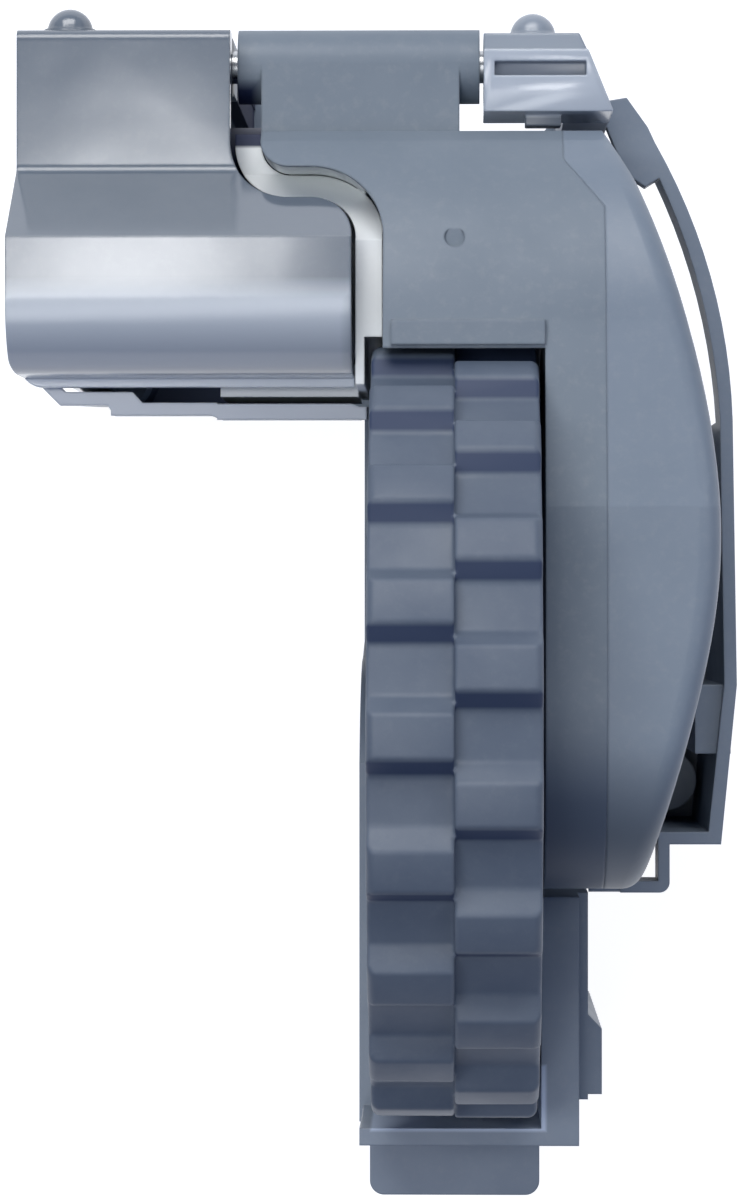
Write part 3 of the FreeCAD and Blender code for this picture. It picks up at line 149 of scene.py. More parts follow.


# Shared effects: rounded and worn edges, moulded grain, drift of tone, dust, and places of painted light and
# shade

wornEdge = {"samples": 4, "turned": (0.995, 0.80), "chipScale": 420.0, "chipDetail": 4.0,
            "chips": (0.35, 0.65)}


def buildEdgeGroup():
    # Wear grows as the rounded normal turns from the face's own, by the cosine between them
    group, entry, leave = newGroup(
        "edgeWear",
        [("Radius", "NodeSocketFloat", 0.3 * mm), ("Breakup", "NodeSocketFloat", 0.5)],
        [("Mask", "NodeSocketFloat"), ("Normal", "NodeSocketVector")])
    bevel = addNode(group, "ShaderNodeBevel", (-3, 1), samples=wornEdge["samples"])
    plug(group, entry["Radius"], bevel.inputs["Radius"])
    surface = addNode(group, "ShaderNodeNewGeometry", (-3, -1))
    match = addVectorMath(group, (-2, 0), "DOT_PRODUCT", bevel.outputs["Normal"], surface.outputs["Normal"])
    turned = addRange(group, (-1, 0), match, wornEdge["turned"])
    place = addNode(group, "ShaderNodeTexCoord", (-3, -2))
    chips = addNoise(group, (-1, -2), place.outputs["Object"],
                     {"Scale": wornEdge["chipScale"], "Detail": wornEdge["chipDetail"]})
    share = addNode(group, "ShaderNodeMix", (1, -1), data_type="FLOAT")
    plug(group, entry["Breakup"], share.inputs["Factor"])
    plug(group, 1.0, share.inputs["A"])
    plug(group, addRange(group, (0, -2), chips.outputs["Fac"], wornEdge["chips"]), share.inputs["B"])
    plug(group, addMath(group, (3, 0), "MULTIPLY", turned, share.outputs["Result"]), leave["Mask"])
    plug(group, bevel.outputs["Normal"], leave["Normal"])
    return group


mouldGrain = {"detail": 3.0, "share": 0.5}


def buildGrainGroup():
    group, entry, leave = newGroup(
        "mouldedGrain",
        [("Scale", "NodeSocketFloat", 2500.0)],
        [("Height", "NodeSocketFloat")])
    place = addNode(group, "ShaderNodeTexCoord", (-4, 0))
    pits = addNode(group, "ShaderNodeTexVoronoi", (-2, 1), feature="SMOOTH_F1")
    grain = addNode(group, "ShaderNodeTexNoise", (-2, -1), {"Detail": mouldGrain["detail"]})
    for texture in (pits, grain):
        plug(group, place.outputs["Object"], texture.inputs["Vector"])
        plug(group, entry["Scale"], texture.inputs["Scale"])
    both = addMath(group, (0, 0), "ADD", pits.outputs["Distance"], grain.outputs["Fac"])
    plug(group, addMath(group, (2, 0), "MULTIPLY", both, mouldGrain["share"]), leave["Height"])
    return group


toneClouds = {"detail": 5.0, "roughness": 0.6, "span": (0.3, 0.7)}


def buildToneGroup():
    group, entry, leave = newGroup(
        "toneDrift",
        [("Tone", "NodeSocketColor", (0.2, 0.2, 0.2, 1)), ("Drift", "NodeSocketColor", (0.15, 0.15, 0.15, 1)),
         ("Scale", "NodeSocketFloat", 60.0)],
        [("Color", "NodeSocketColor"), ("Cloud", "NodeSocketFloat")])
    place = addNode(group, "ShaderNodeTexCoord", (-4, 0))
    clouds = addNoise(group, (-2, 0), place.outputs["Object"],
                      {"Detail": toneClouds["detail"], "Roughness": toneClouds["roughness"]})
    plug(group, entry["Scale"], clouds.inputs["Scale"])
    spread = addRange(group, (0, 0), clouds.outputs["Fac"], toneClouds["span"])
    plug(group, mixColour(group, (2, 0), spread, entry["Tone"], entry["Drift"]), leave["Color"])
    plug(group, spread, leave["Cloud"])
    return group


dustSpecks = {"facing": (0.4, 1.0), "scale": 900.0, "detail": 6.0, "roughness": 0.7, "sparse": (0.5, 0.75),
              "tone": (0.42, 0.43, 0.42)}


def buildDustGroup():
    # Dust settles on faces that look up
    group, entry, leave = newGroup(
        "settledDust",
        [("Amount", "NodeSocketFloat", 0.2)],
        [("Mask", "NodeSocketFloat")])
    surface = addNode(group, "ShaderNodeNewGeometry", (-4, 1))
    up = addNode(group, "ShaderNodeSeparateXYZ", (-3, 1))
    plug(group, surface.outputs["Normal"], up.inputs[0])
    facing = addRange(group, (-2, 1), up.outputs["Z"], dustSpecks["facing"])
    place = addNode(group, "ShaderNodeTexCoord", (-4, -1))
    specks = addNoise(group, (-2, -1), place.outputs["Object"],
                      {"Scale": dustSpecks["scale"], "Detail": dustSpecks["detail"],
                       "Roughness": dustSpecks["roughness"]})
    sparse = addRange(group, (0, -1), specks.outputs["Fac"], dustSpecks["sparse"])
    laid = addMath(group, (1, 0), "MULTIPLY", facing, sparse)
    plug(group, addMath(group, (3, 0), "MULTIPLY", laid, entry["Amount"]), leave["Mask"])
    return group


def buildPatchGroup():
    # 1 inside an upright box of the piece's own space, fading out towards its sides; the mask of painted
    # light and shade
    group, entry, leave = newGroup(
        "boxPatch",
        [("Low", "NodeSocketVector", (0, 0, 0)), ("High", "NodeSocketVector", (0, 0, 0)),
         ("Fade", "NodeSocketFloat", 0.3 * mm)],
        [("Mask", "NodeSocketFloat")])
    place = addNode(group, "ShaderNodeTexCoord", (-4, 0))
    above = addVectorMath(group, (-2, 1), "SUBTRACT", place.outputs["Object"], entry["Low"])
    below = addVectorMath(group, (-2, -1), "SUBTRACT", entry["High"], place.outputs["Object"])
    sides = addNode(group, "ShaderNodeSeparateXYZ", (0, 0))
    plug(group, addVectorMath(group, (-1, 0), "MINIMUM", above, below), sides.inputs[0])
    least = sides.outputs["X"]
    for step, axis in enumerate(("Y", "Z")):
        least = addMath(group, (1 + step, 0), "MINIMUM", least, sides.outputs[axis])
    plug(group, addRange(group, (4, 0), least, (0.0, entry["Fade"])), leave["Mask"])
    return group


trailingFaces = (0.15, 0.45)   # cosine between a face and the way round the axle that it trails


def buildRingGroup():
    # 1 between two distances from an axle that runs along X, on the faces that trail as it turns; the mask of
    # painted shade on the lugs
    group, entry, leave = newGroup(
        "ringPatch",
        [("Middle", "NodeSocketVector", (0, 0, 0)), ("Inner", "NodeSocketFloat", 0.0),
         ("Outer", "NodeSocketFloat", 1.0), ("Fade", "NodeSocketFloat", 0.3 * mm)],
        [("Mask", "NodeSocketFloat")])
    place = addNode(group, "ShaderNodeTexCoord", (-4, 0))
    away = addVectorMath(group, (-3, 0), "SUBTRACT", place.outputs["Object"], entry["Middle"])
    flat = addVectorMath(group, (-2, 0), "MULTIPLY", away, (0, 1, 1))
    radius = addVectorMath(group, (-1, 0), "LENGTH", flat)
    above = addMath(group, (0, 1), "SUBTRACT", radius, entry["Inner"])
    below = addMath(group, (0, -1), "SUBTRACT", entry["Outer"], radius)
    least = addMath(group, (1, 0), "MINIMUM", above, below)
    fade = addRange(group, (3, 0), least, (0.0, entry["Fade"]))
    ahead = addVectorMath(group, (-1, -3), "CROSS_PRODUCT", (1, 0, 0), flat)
    course = addVectorMath(group, (0, -3), "NORMALIZE", ahead)
    facing = addVectorMath(group, (1, -3), "DOT_PRODUCT", course, place.outputs["Normal"])
    trailing = addRange(group, (2, -3), facing, trailingFaces)
    plug(group, addMath(group, (4, -1), "MULTIPLY", fade, trailing), leave["Mask"])
    return group


effects = {
    "edge": buildEdgeGroup(),
    "grain": buildGrainGroup(),
    "tone": buildToneGroup(),
    "dust": buildDustGroup(),
    "patch": buildPatchGroup(),
    "ring": buildRingGroup(),
}
print("shared effects built")


def placeEffect(tree, name, place, values):
    node = addNode(tree, "ShaderNodeGroup", place)
    node.node_tree = effects[name]
    for socketName, value in values.items():
        node.inputs[socketName].default_value = value
    return node


def inMetres(point):
    return [side * mm for side in point]


usualFade = 0.3   # mm


def addPatches(tree, look, colour, roughness):
    # Places of a piece that are paler or darker than the rest of it: painted light and shade
    for step, patch in enumerate(look.get("patches", ())):
        limits = {"Fade": patch.get("fade", usualFade) * mm}
        if "radii" in patch:
            inner, outer = inMetres(patch["radii"])
            limits.update({"Middle": inMetres(patch["middle"]), "Inner": inner, "Outer": outer})
            mask = placeEffect(tree, "ring", (-4 + 2 * step, 4), limits)
        else:
            limits.update({"Low": inMetres(patch["low"]), "High": inMetres(patch["high"])})
            mask = placeEffect(tree, "patch", (-4 + 2 * step, 4), limits)
        mask = mask.outputs["Mask"]
        colour = mixColour(tree, (-3 + 2 * step, 3), mask, colour, rgba(patch["tone"]))
        mixed = addNode(tree, "ShaderNodeMix", (-2 + 2 * step, -1), data_type="FLOAT")
        plug(tree, mask, mixed.inputs["Factor"])
        plug(tree, roughness, mixed.inputs["A"])
        plug(tree, patch["rough"], mixed.inputs["B"])
        roughness = mixed.outputs["Result"]
    return colour, roughness


def startMaterial(name):
    # A new material, its nodes and its shader
    material = bpy.data.materials.new(name)
    material.use_nodes = True
    return material, material.node_tree, material.node_tree.nodes["Principled BSDF"]


def addWornTone(tree, look):
    # The piece's drifting tone, with its worn edges over it
    tone = placeEffect(tree, "tone", (-6, 2), {"Tone": rgba(look["tone"]), "Drift": rgba(look["drift"]),
                                               "Scale": look["cloudScale"]})
    edge = placeEffect(tree, "edge", (-6, 0), {"Radius": look["round"] * mm, "Breakup": look["breakup"]})
    wear = addMath(tree, (-5, 1), "MULTIPLY", edge.outputs["Mask"], look["wear"])
    worn = mixColour(tree, (-4, 2), wear, tone.outputs["Color"], rgba(look["worn"]))
    return worn, tone.outputs["Cloud"], edge.outputs["Normal"]


def finishSurface(tree, look, colour, polish, height, normal):
    # Polish drifts between the two roughnesses of the look, and the fine relief lies over the rounded edges
    shader = tree.nodes["Principled BSDF"]
    rough = addNode(tree, "ShaderNodeMapRange", (-3, 0),
                    {"To Min": look["rough"][0], "To Max": look["rough"][1]})
    plug(tree, polish, rough.inputs["Value"])
    colour, roughness = addPatches(tree, look, colour, rough.outputs["Result"])
    plug(tree, colour, shader.inputs["Base Color"])
    plug(tree, roughness, shader.inputs["Roughness"])
    bump = addNode(tree, "ShaderNodeBump", (-3, -2),
                   {"Strength": look["bump"], "Distance": look["relief"] * mm})
    plug(tree, height, bump.inputs["Height"])
    plug(tree, normal, bump.inputs["Normal"])
    plug(tree, bump.outputs["Normal"], shader.inputs["Normal"])


usualPlastic = {"specular": 0.5, "round": 0.25, "cloudScale": 70.0, "grainScale": 3000.0, "breakup": 0.7,
                "relief": 0.03}
swellWaves = {"scale": 120.0, "detail": 1.5}   # shallow waves that a polished moulding keeps


def plasticMaterial(name, look):
    look = {**usualPlastic, **look}
    material, tree, shader = startMaterial(name)
    shader.inputs["Specular IOR Level"].default_value = look["specular"]
    worn, cloud, normal = addWornTone(tree, look)
    dust = placeEffect(tree, "dust", (-6, -1), {"Amount": look["dust"]})
    dusty = mixColour(tree, (-3, 2), dust.outputs["Mask"], worn, rgba(dustSpecks["tone"]))
    grain = placeEffect(tree, "grain", (-6, -2), {"Scale": look["grainScale"]})
    if "swell" in look:
        place = addNode(tree, "ShaderNodeTexCoord", (-7, -3))
        waves = addNoise(tree, (-6, -3), place.outputs["Object"],
                         {"Scale": swellWaves["scale"], "Detail": swellWaves["detail"]})
        swell = addNode(tree, "ShaderNodeBump", (-5, -3), {"Strength": 1.0, "Distance": look["swell"] * mm})
        plug(tree, waves.outputs["Fac"], swell.inputs["Height"])
        plug(tree, normal, swell.inputs["Normal"])
        normal = swell.outputs["Normal"]
    finishSurface(tree, look, dusty, cloud, grain.outputs["Height"], normal)
    return material


usualMetal = {"round": 0.12, "cloudScale": 200.0, "breakup": 0.4, "wear": 0.5, "bump": 0.12, "relief": 0.02}
brushMarks = {"scale": 2600.0, "detail": 3.0}


def metalMaterial(name, look):
    look = {**usualMetal, **look}
    material, tree, shader = startMaterial(name)
    shader.inputs["Metallic"].default_value = 1.0
    worn, cloud, normal = addWornTone(tree, look)
    place = addNode(tree, "ShaderNodeTexCoord", (-7, -2))
    stretch = addNode(tree, "ShaderNodeMapping", (-6, -2), {"Scale": look["brush"]})
    plug(tree, place.outputs["Object"], stretch.inputs["Vector"])
    marks = addNoise(tree, (-5, -2), stretch.outputs["Vector"],
                     {"Scale": brushMarks["scale"], "Detail": brushMarks["detail"]}).outputs["Fac"]
    finishSurface(tree, look, worn, marks, marks, normal)
    return material


# Finishes of the pieces. Patches are painted light and shade, and lie between two corners in mm, or between
# two radii round the axle.

plasticLooks = {
    "framePlastic": {
        "tone": (0.232, 0.278, 0.336), "drift": (0.202, 0.246, 0.302), "worn": (0.46, 0.50, 0.55),
        "rough": (0.36, 0.50), "bump": 0.18, "specular": 0.45, "dust": 0.10, "wear": 0.40,
        "patches": [
            # painted light on the ledge under the motor bay and on the tail wall, painted shade in the deep
            # gap beside the barrel and in the slot in the bay's foot
            {"low": (-41, 27, 42.5), "high": (-7.7, 36, 46), "tone": (0.60, 0.65, 0.71), "rough": 0.22},
            {"low": (-7.9, -37.4, -1), "high": (8.6, -31, 44.5), "tone": (0.46, 0.54, 0.66), "rough": 0.40},
            {"low": (-22, 53, 2), "high": (-14, 63, 36), "tone": (0.010, 0.016, 0.050), "rough": 0.95},
            {"low": (-38, 31, -1), "high": (-12, 37, 8), "tone": (0.030, 0.044, 0.085), "rough": 0.50},
        ]},
    "glossCover": {
        "tone": (0.142, 0.172, 0.208), "drift": (0.118, 0.147, 0.182), "worn": (0.40, 0.44, 0.49),
        "rough": (0.08, 0.14), "bump": 0.03, "specular": 0.85, "dust": 0.05, "wear": 0.12,
        "cloudScale": 45.0, "round": 0.30, "swell": 0.025,
        "patches": [
            # painted light on the flange, painted highlight on the upper side of the bulge
            {"low": (-41, 30, 45), "high": (-7, 33, 48.2), "tone": (0.70, 0.76, 0.82), "rough": 0.20},
            {"low": (-43, 30.5, 49), "high": (-8, 40.4, 63), "tone": (0.46, 0.51, 0.56), "rough": 0.20,
             "fade": 2.2},
        ]},
    "bracketPlastic": {
        # pale tone: partly the plastic's own colour, partly a painted reflection of the lamps
        "tone": (0.44, 0.49, 0.55), "drift": (0.39, 0.44, 0.50), "worn": (0.74, 0.77, 0.80),
        "rough": (0.14, 0.22), "bump": 0.03, "specular": 0.8, "dust": 0.05, "wear": 0.45,
        "patches": [
            # painted shade on the band at the top, in the recess and on the small step
            {"low": (0, 61.9, 45), "high": (17, 68, 51), "tone": (0.24, 0.28, 0.33), "rough": 0.28},
            {"low": (3.3, 59.2, 46.5), "high": (12.4, 61.3, 49.2), "tone": (0.24, 0.275, 0.33),
             "rough": 0.35},
            {"low": (5.5, 54.5, 44), "high": (10.5, 56.2, 48), "tone": (0.16, 0.19, 0.23), "rough": 0.35},
        ]},
    "armPlastic": {
        "tone": (0.182, 0.220, 0.260), "drift": (0.156, 0.194, 0.234), "worn": (0.38, 0.42, 0.47),
        "rough": (0.42, 0.56), "bump": 0.25, "specular": 0.40, "dust": 0.14, "wear": 0.22,
        "grainScale": 2200.0, "round": 0.35,
        "patches": [
            # painted shade in the hollow under the barrel, painted light on two stretches of wall along the
            # carrier, painted shade on the half of the case by the tail
            {"low": (-21, 52, 34), "high": (-17.7, 59.6, 47.6), "tone": (0.012, 0.020, 0.060), "rough": 0.50,
             "fade": 1.0},
            {"low": (-21, 49.9, 40), "high": (-7.0, 51.3, 53.9), "tone": (0.88, 0.91, 0.90), "rough": 0.45},
            {"low": (-10.5, 46.0, 40), "high": (-5.9, 50.3, 54.9), "tone": (0.88, 0.91, 0.90), "rough": 0.45},
            {"low": (-30, -40, 0), "high": (30, 3, 90), "tone": (0.085, 0.112, 0.158), "rough": 0.50,
             "fade": 9.0},
        ]},
    "coverPlastic": {
        "tone": (0.200, 0.243, 0.295), "drift": (0.170, 0.213, 0.265), "worn": (0.36, 0.40, 0.45),
        "rough": (0.34, 0.46), "bump": 0.18, "specular": 0.45, "dust": 0.10, "wear": 0.22, "round": 0.4,
        "patches": [
            # painted shade on the half of the cover by the tail
            {"low": (-30, -40, 0), "high": (50, -1, 90), "tone": (0.125, 0.155, 0.190), "rough": 0.42,
             "fade": 8.0},
        ]},
    "carrierPlastic": {
        # pale tone: partly the plastic's own colour, partly painted light on a strip that lies in shade
        "tone": (0.90, 0.93, 0.92), "drift": (0.84, 0.88, 0.88), "worn": (0.93, 0.94, 0.94),
        "rough": (0.38, 0.50), "bump": 0.12, "specular": 0.45, "dust": 0.05, "wear": 0.15,
        "patches": [
            # painted shade on the end in the gap beside the barrel
            {"low": (-24, 53.2, 15), "high": (-13, 64, 62), "tone": (0.012, 0.020, 0.060), "rough": 0.50},
        ]},
    "treadRubber": {
        # pale worn lug edges: partly real wear, partly painted highlight
        "tone": (0.106, 0.134, 0.176), "drift": (0.082, 0.108, 0.152), "worn": (0.36, 0.40, 0.46),
        "rough": (0.42, 0.54), "bump": 0.25, "specular": 0.45, "dust": 0.05, "wear": 0.85,
        "grainScale": 2600.0, "round": 0.40, "cloudScale": 110.0,
        "patches": [
            # painted shade on the trailing flanks of the lugs
            {"middle": (0, 0, 50), "radii": (33.3, 34.8), "tone": (0.028, 0.045, 0.095), "rough": 0.55,
             "fade": 0.25},
        ]},
    "hubPlastic": {
        "tone": (0.30, 0.34, 0.39), "drift": (0.26, 0.30, 0.35), "worn": (0.45, 0.48, 0.52),
        "rough": (0.35, 0.48), "bump": 0.15, "dust": 0.08, "wear": 0.2},
    "gearNylon": {
        "tone": (0.72, 0.72, 0.68), "drift": (0.66, 0.66, 0.61), "worn": (0.82, 0.82, 0.80),
        "rough": (0.35, 0.46), "bump": 0.08, "dust": 0.02, "wear": 0.3, "round": 0.12},
    "bronze": {
        "tone": (0.46, 0.33, 0.17), "drift": (0.38, 0.26, 0.13), "worn": (0.60, 0.46, 0.26),
        "rough": (0.35, 0.5), "bump": 0.2, "dust": 0.0, "wear": 0.4, "round": 0.1},
    "switchBlack": {
        "tone": (0.022, 0.024, 0.028), "drift": (0.034, 0.036, 0.040), "worn": (0.12, 0.12, 0.13),
        "rough": (0.35, 0.5), "bump": 0.12, "dust": 0.08, "wear": 0.3, "round": 0.15},
    "plungerRed": {
        "tone": (0.50, 0.040, 0.030), "drift": (0.42, 0.032, 0.025), "worn": (0.65, 0.15, 0.12),
        "rough": (0.3, 0.42), "bump": 0.08, "dust": 0.03, "wear": 0.3, "round": 0.12},
    "boardGreen": {
        "tone": (0.020, 0.120, 0.055), "drift": (0.015, 0.095, 0.045), "worn": (0.35, 0.30, 0.14),
        "rough": (0.22, 0.34), "bump": 0.1, "dust": 0.03, "wear": 0.4, "round": 0.1, "cloudScale": 500.0},
    "headerWhite": {
        "tone": (0.74, 0.73, 0.68), "drift": (0.68, 0.67, 0.61), "worn": (0.82, 0.81, 0.78),
        "rough": (0.35, 0.45), "bump": 0.08, "dust": 0.03, "wear": 0.2, "round": 0.1},
}
metalLooks = {
    "steel": {
        "tone": (0.56, 0.57, 0.58), "drift": (0.48, 0.49, 0.50), "worn": (0.75, 0.75, 0.75),
        "rough": (0.18, 0.32), "brush": (1.0, 12.0, 12.0)},
    "springSteel": {
        "tone": (0.40, 0.41, 0.42), "drift": (0.33, 0.34, 0.35), "worn": (0.60, 0.60, 0.60),
        "rough": (0.24, 0.38), "brush": (1.0, 1.0, 3.0)},
    "screwSteel": {
        "tone": (0.50, 0.50, 0.50), "drift": (0.42, 0.42, 0.43), "worn": (0.70, 0.70, 0.70),
        "rough": (0.22, 0.36), "brush": (4.0, 4.0, 1.0)},
    "motorSteel": {
        "tone": (0.58, 0.59, 0.61), "drift": (0.50, 0.51, 0.53), "worn": (0.76, 0.76, 0.76),
        "rough": (0.24, 0.38), "brush": (8.0, 1.0, 1.0),
        "patches": [
            # painted shade on a band round the can, where it lies in the gap beside the barrel
            {"low": (-23, 20, 10), "high": (-15, 70, 70), "tone": (0.020, 0.026, 0.055), "rough": 0.55},
        ]},
    "magnetBlack": {
        "tone": (0.10, 0.10, 0.11), "drift": (0.07, 0.07, 0.08), "worn": (0.3, 0.3, 0.3),
        "rough": (0.4, 0.55), "brush": (1.0, 1.0, 1.0)},
}
materials = {name: plasticMaterial(name, look) for name, look in plasticLooks.items()}
materials.update({name: metalMaterial(name, look) for name, look in metalLooks.items()})
print("materials built:", len(materials))

finishOf = {
    "framePlastic": ["base_frame"],
    "glossCover": ["motor_bay_cover"],
    "bracketPlastic": ["pivot_bracket"],
    "armPlastic": ["arm_case"],
    "coverPlastic": ["gear_cover"],
    "carrierPlastic": ["motor_carrier"],
    "treadRubber": ["tyre"],
    "hubPlastic": ["wheel_hub"],
    "gearNylon": ["first_gear", "transfer_pinion", "second_gear", "third_gear", "output_gear"],
    "bronze": ["inner_bearing", "outer_bearing"],
    "switchBlack": ["drop_switch"],
    "plungerRed": ["switch_plunger"],
    "boardGreen": ["encoder_board"],
    "headerWhite": ["connector_header"],
    "steel": ["pivot_pin", "gear_pins", "motor_shaft", "motor_pinion", "transfer_shaft", "output_shaft"],
    "springSteel": ["suspension_spring", "pin_clip"],
    "screwSteel": ["bracket_screw", "cover_screw", "case_screws", "motor_screws", "wheel_screw"],
    "motorSteel": ["motor_can", "motor_end_cap"],
    "magnetBlack": ["encoder_magnet"],
}
for finish, names in finishOf.items():
    for name in names:
        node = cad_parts[name]
        node.data.materials.clear()
        node.data.materials.append(materials[finish])
print("finishes given to the frame's nodes")


# Making new pieces

copyRules = {"mergeWithin": 0.002 * mm, "flatBelow": 1.0}


def onlySelect(piece):
    bpy.ops.object.select_all(action="DESELECT")
    piece.select_set(True)
    bpy.context.view_layer.objects.active = piece


def applyModifier(piece, kind, **settings):
    onlySelect(piece)
    modifier = piece.modifiers.new(kind.lower(), kind)
    for name, value in settings.items():
        setattr(modifier, name, value)
    bpy.ops.object.modifier_apply(modifier=modifier.name)


def copyNode(nodeName, name):
    # A CAD node's triangles, merged and with its flat faces made whole
    piece = bpy.data.objects.new(name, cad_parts[nodeName].data.copy())
    bpy.context.scene.collection.objects.link(piece)
    onlySelect(piece)
    bpy.ops.object.mode_set(mode="EDIT")
    bpy.ops.mesh.select_all(action="SELECT")
    bpy.ops.mesh.remove_doubles(threshold=copyRules["mergeWithin"])
    bpy.ops.mesh.dissolve_limited(angle_limit=math.radians(copyRules["flatBelow"]))
    bpy.ops.object.mode_set(mode="OBJECT")
    return piece


def roundEdges(piece, finish):
    applyModifier(piece, "BEVEL", width=finish["edgeRound"], segments=finish["edgeSteps"],
                  limit_method="ANGLE", angle_limit=math.radians(finish["sharpFrom"]))
    bpy.ops.object.shade_smooth_by_angle(angle=math.radians(finish["smoothBelow"]))


# Tyre with its lug edges rounded as they leave the mould

tyreFinish = {"edgeRound": 0.3 * mm, "edgeSteps": 3, "sharpFrom": 24, "smoothBelow": 28}


def addTyre():
    tyre = copyNode("tyre", "treadTyre")
    roundEdges(tyre, tyreFinish)
    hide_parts("tyre")
    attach(tyre, "wheel")
    print("tyre:", len(tyre.data.polygons), "faces")


# Pivot bracket with the soft edges of a polished moulding

bracketFinish = {"edgeRound": 0.5 * mm, "edgeSteps": 3, "sharpFrom": 30, "smoothBelow": 28}


def addBracket():
    bracket = copyNode("pivot_bracket", "bracketShell")
    roundEdges(bracket, bracketFinish)
    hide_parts("pivot_bracket")
    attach(bracket, "frame")
    print("bracket:", len(bracket.data.polygons), "faces")


# Suspension spring, wound with a dead turn at each end

springCoil = {"middle": (2.0 * mm, 44.0 * mm), "radius": 3.6 * mm, "wire": 0.6 * mm, "wireSides": 10,
              "turns": 6, "steps": 28, "deadPitch": 2.05, "mergeWithin": 0.005 * mm, "smoothBelow": 40,
              "shrink": 0.84}   # deadPitch in wire radii, shrink the share of its height left at full swing


def windCoil(foot, rise, turns):
    # A ring of wire is swept round the middle and up
    bpy.ops.object.select_all(action="DESELECT")
    middle = springCoil["middle"]
    bpy.ops.mesh.primitive_circle_add(vertices=springCoil["wireSides"], radius=springCoil["wire"],
                                      location=(springCoil["radius"], 0, 0), rotation=(math.pi / 2, 0, 0))
    coil = bpy.context.object
    bpy.ops.object.transform_apply(location=True, rotation=True, scale=True)
    applyModifier(coil, "SCREW", angle=2 * math.pi, screw_offset=rise, iterations=turns,
                  steps=springCoil["steps"], render_steps=springCoil["steps"], axis="Z")
    coil.location = (middle[0], middle[1], foot)
    bpy.ops.object.transform_apply(location=True, rotation=True, scale=True)
    return coil


def addSpring():
    low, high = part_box("suspension_spring")
    wire = springCoil["wire"]
    foot = low.z + wire
    deadRise = springCoil["deadPitch"] * wire
    span = high.z - low.z - 2 * wire - 2 * deadRise
    coils = [windCoil(foot, deadRise, 1),
             windCoil(foot + deadRise, span / springCoil["turns"], springCoil["turns"]),
             windCoil(foot + deadRise + span, deadRise, 1)]
    onlySelect(coils[0])
    for coil in coils[1:]:
        coil.select_set(True)
    bpy.ops.object.join()
    spring = bpy.context.object
    spring.name = "coilSpring"
    bpy.ops.object.mode_set(mode="EDIT")
    bpy.ops.mesh.select_all(action="SELECT")
    bpy.ops.mesh.remove_doubles(threshold=springCoil["mergeWithin"])
    bpy.ops.mesh.select_all(action="DESELECT")
    bpy.ops.mesh.select_mode(type="EDGE")
    bpy.ops.mesh.select_non_manifold()
    bpy.ops.mesh.fill_holes(sides=springCoil["wireSides"])
    bpy.ops.mesh.select_all(action="SELECT")
    bpy.ops.mesh.normals_make_consistent(inside=False)
    bpy.ops.object.mode_set(mode="OBJECT")
    bpy.ops.object.shade_smooth_by_angle(angle=math.radians(springCoil["smoothBelow"]))
    spring.data.materials.append(materials["springSteel"])
    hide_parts("suspension_spring")
    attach(spring, "frame")
    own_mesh(spring)
    print("spring:", len(spring.data.polygons), "faces")


addTyre()
addBracket()
addSpring()


# Floor, lamps and world

def seenRays(tree, place):
    # 1 for rays from the camera and for those that gloss and glass send on
    path = addNode(tree, "ShaderNodeLightPath", place)
    total = path.outputs["Is Camera Ray"]
    for step, name in enumerate(("Is Glossy Ray", "Is Transmission Ray")):
        total = addMath(tree, (place[0] + 1 + step, place[1]), "ADD", total, path.outputs[name])
        total.node.use_clamp = True
    return total


floorSetup = {"half": 2.0, "below": 0.1 * mm, "colour": (0.34, 0.37, 0.42), "glow": 0.93}


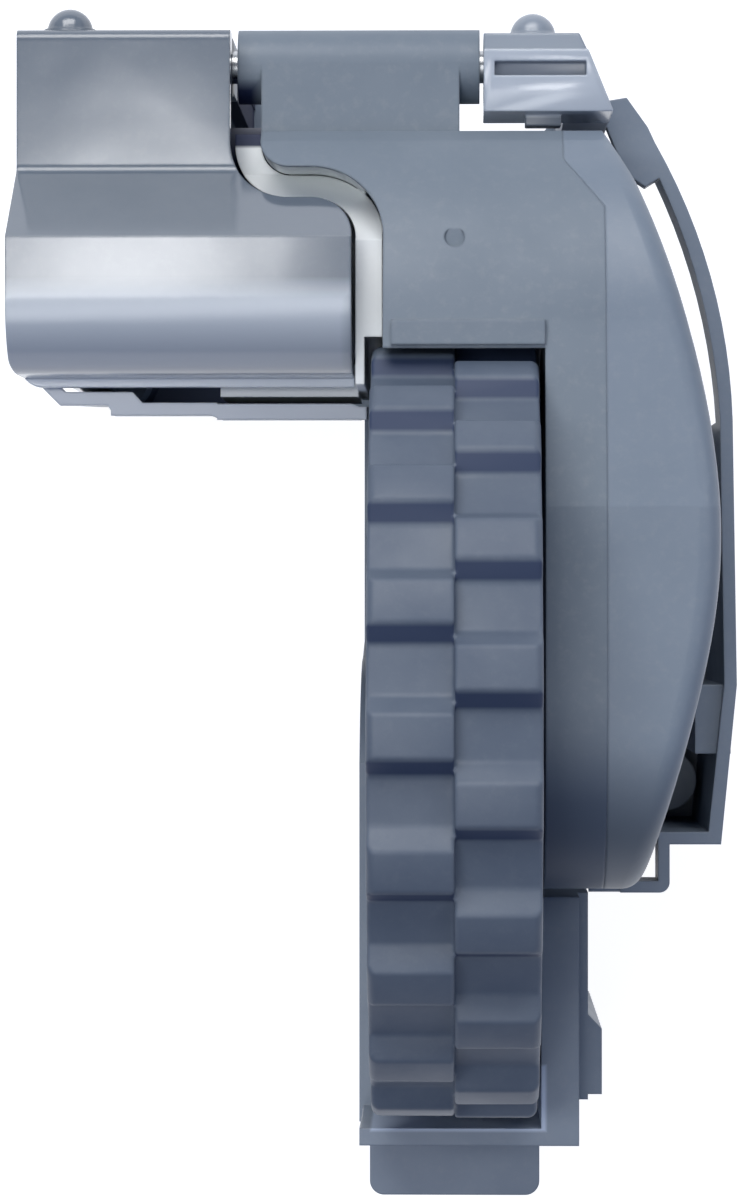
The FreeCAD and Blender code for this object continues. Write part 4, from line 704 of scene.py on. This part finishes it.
def addFloor():
    bpy.ops.mesh.primitive_plane_add(size=2 * floorSetup["half"], location=(0, 0, -floorSetup["below"]))
    floor = bpy.context.object
    floor.name = "benchFloor"
    material = bpy.data.materials.new("paleFloor")
    material.use_nodes = True
    tree = material.node_tree
    tree.nodes.remove(tree.nodes["Principled BSDF"])
    matt = addNode(tree, "ShaderNodeBsdfDiffuse", (0, 1), {"Color": rgba(floorSetup["colour"])})
    glow = addNode(tree, "ShaderNodeEmission", (0, -1))
    seen = addMath(tree, (-2, -1), "MULTIPLY", seenRays(tree, (-6, -1)), floorSetup["glow"])
    plug(tree, seen, glow.inputs["Strength"])
    both = addNode(tree, "ShaderNodeAddShader", (1, 0))
    plug(tree, matt.outputs["BSDF"], both.inputs[0])
    plug(tree, glow.outputs["Emission"], both.inputs[1])
    plug(tree, both.outputs["Shader"], tree.nodes["Material Output"].inputs["Surface"])
    floor.data.materials.append(material)


lamps = {
    "skyBox": {"at": (-0.10, 0.78, 0.66), "size": (0.90, 0.50), "power": 7.8,
               "tint": (1.0, 0.985, 0.965)},   # from the pivot's side
    "sheenBox": {"at": (-0.107, 0.0925, 0.93), "size": (0.125, 0.069), "power": 0.30,
                 "tint": (1.0, 1.0, 1.0)},   # seen in the motor bay's slope
    "bulgeBox": {"at": (-0.11, -0.24, 0.90), "size": (0.15, 0.56), "power": 0.85,
                 "tint": (0.97, 0.985, 1.0)},   # seen in the motor bay's bulge
    "roofBox": {"at": (-0.34, 0.05, 0.92), "size": (0.20, 0.30), "power": 1.6,
                "tint": (1.0, 0.99, 0.97)},   # from over the motor bay
    "sideBox": {"at": (0.60, 0.22, 0.70), "size": (0.25, 0.35), "power": 0.9,
                "tint": (1.0, 0.99, 0.97)},   # from the gear cover's side
}
lampAim = (0, 0.01, 0.04)   # the module's middle
worldLight = {"colour": (0.26, 0.42, 1.0), "strength": 0.20, "seen": (0.44, 0.48, 0.55)}


def addLamps():
    for name, lamp in lamps.items():
        data = bpy.data.lights.new(name, "AREA")
        data.shape = "RECTANGLE"
        data.size, data.size_y = lamp["size"]
        data.energy = lamp["power"]
        data.color = lamp["tint"]
        light = bpy.data.objects.new(name, data)
        light.location = lamp["at"]
        away = Vector(lamp["at"]) - Vector(lampAim)
        light.rotation_euler = away.to_track_quat("Z", "Y").to_euler()
        bpy.context.scene.collection.objects.link(light)


def addWorld():
    world = bpy.data.worlds.new("studio")
    bpy.context.scene.world = world
    world.use_nodes = True
    tree = world.node_tree
    dim = [part * worldLight["strength"] for part in worldLight["colour"]]
    colour = mixColour(tree, (-2, 1), seenRays(tree, (-6, 0)), rgba(dim), rgba(worldLight["seen"]))
    plug(tree, colour, tree.nodes["Background"].inputs["Color"])


addFloor()
addLamps()
addWorld()
print("floor, lamps and world in place")
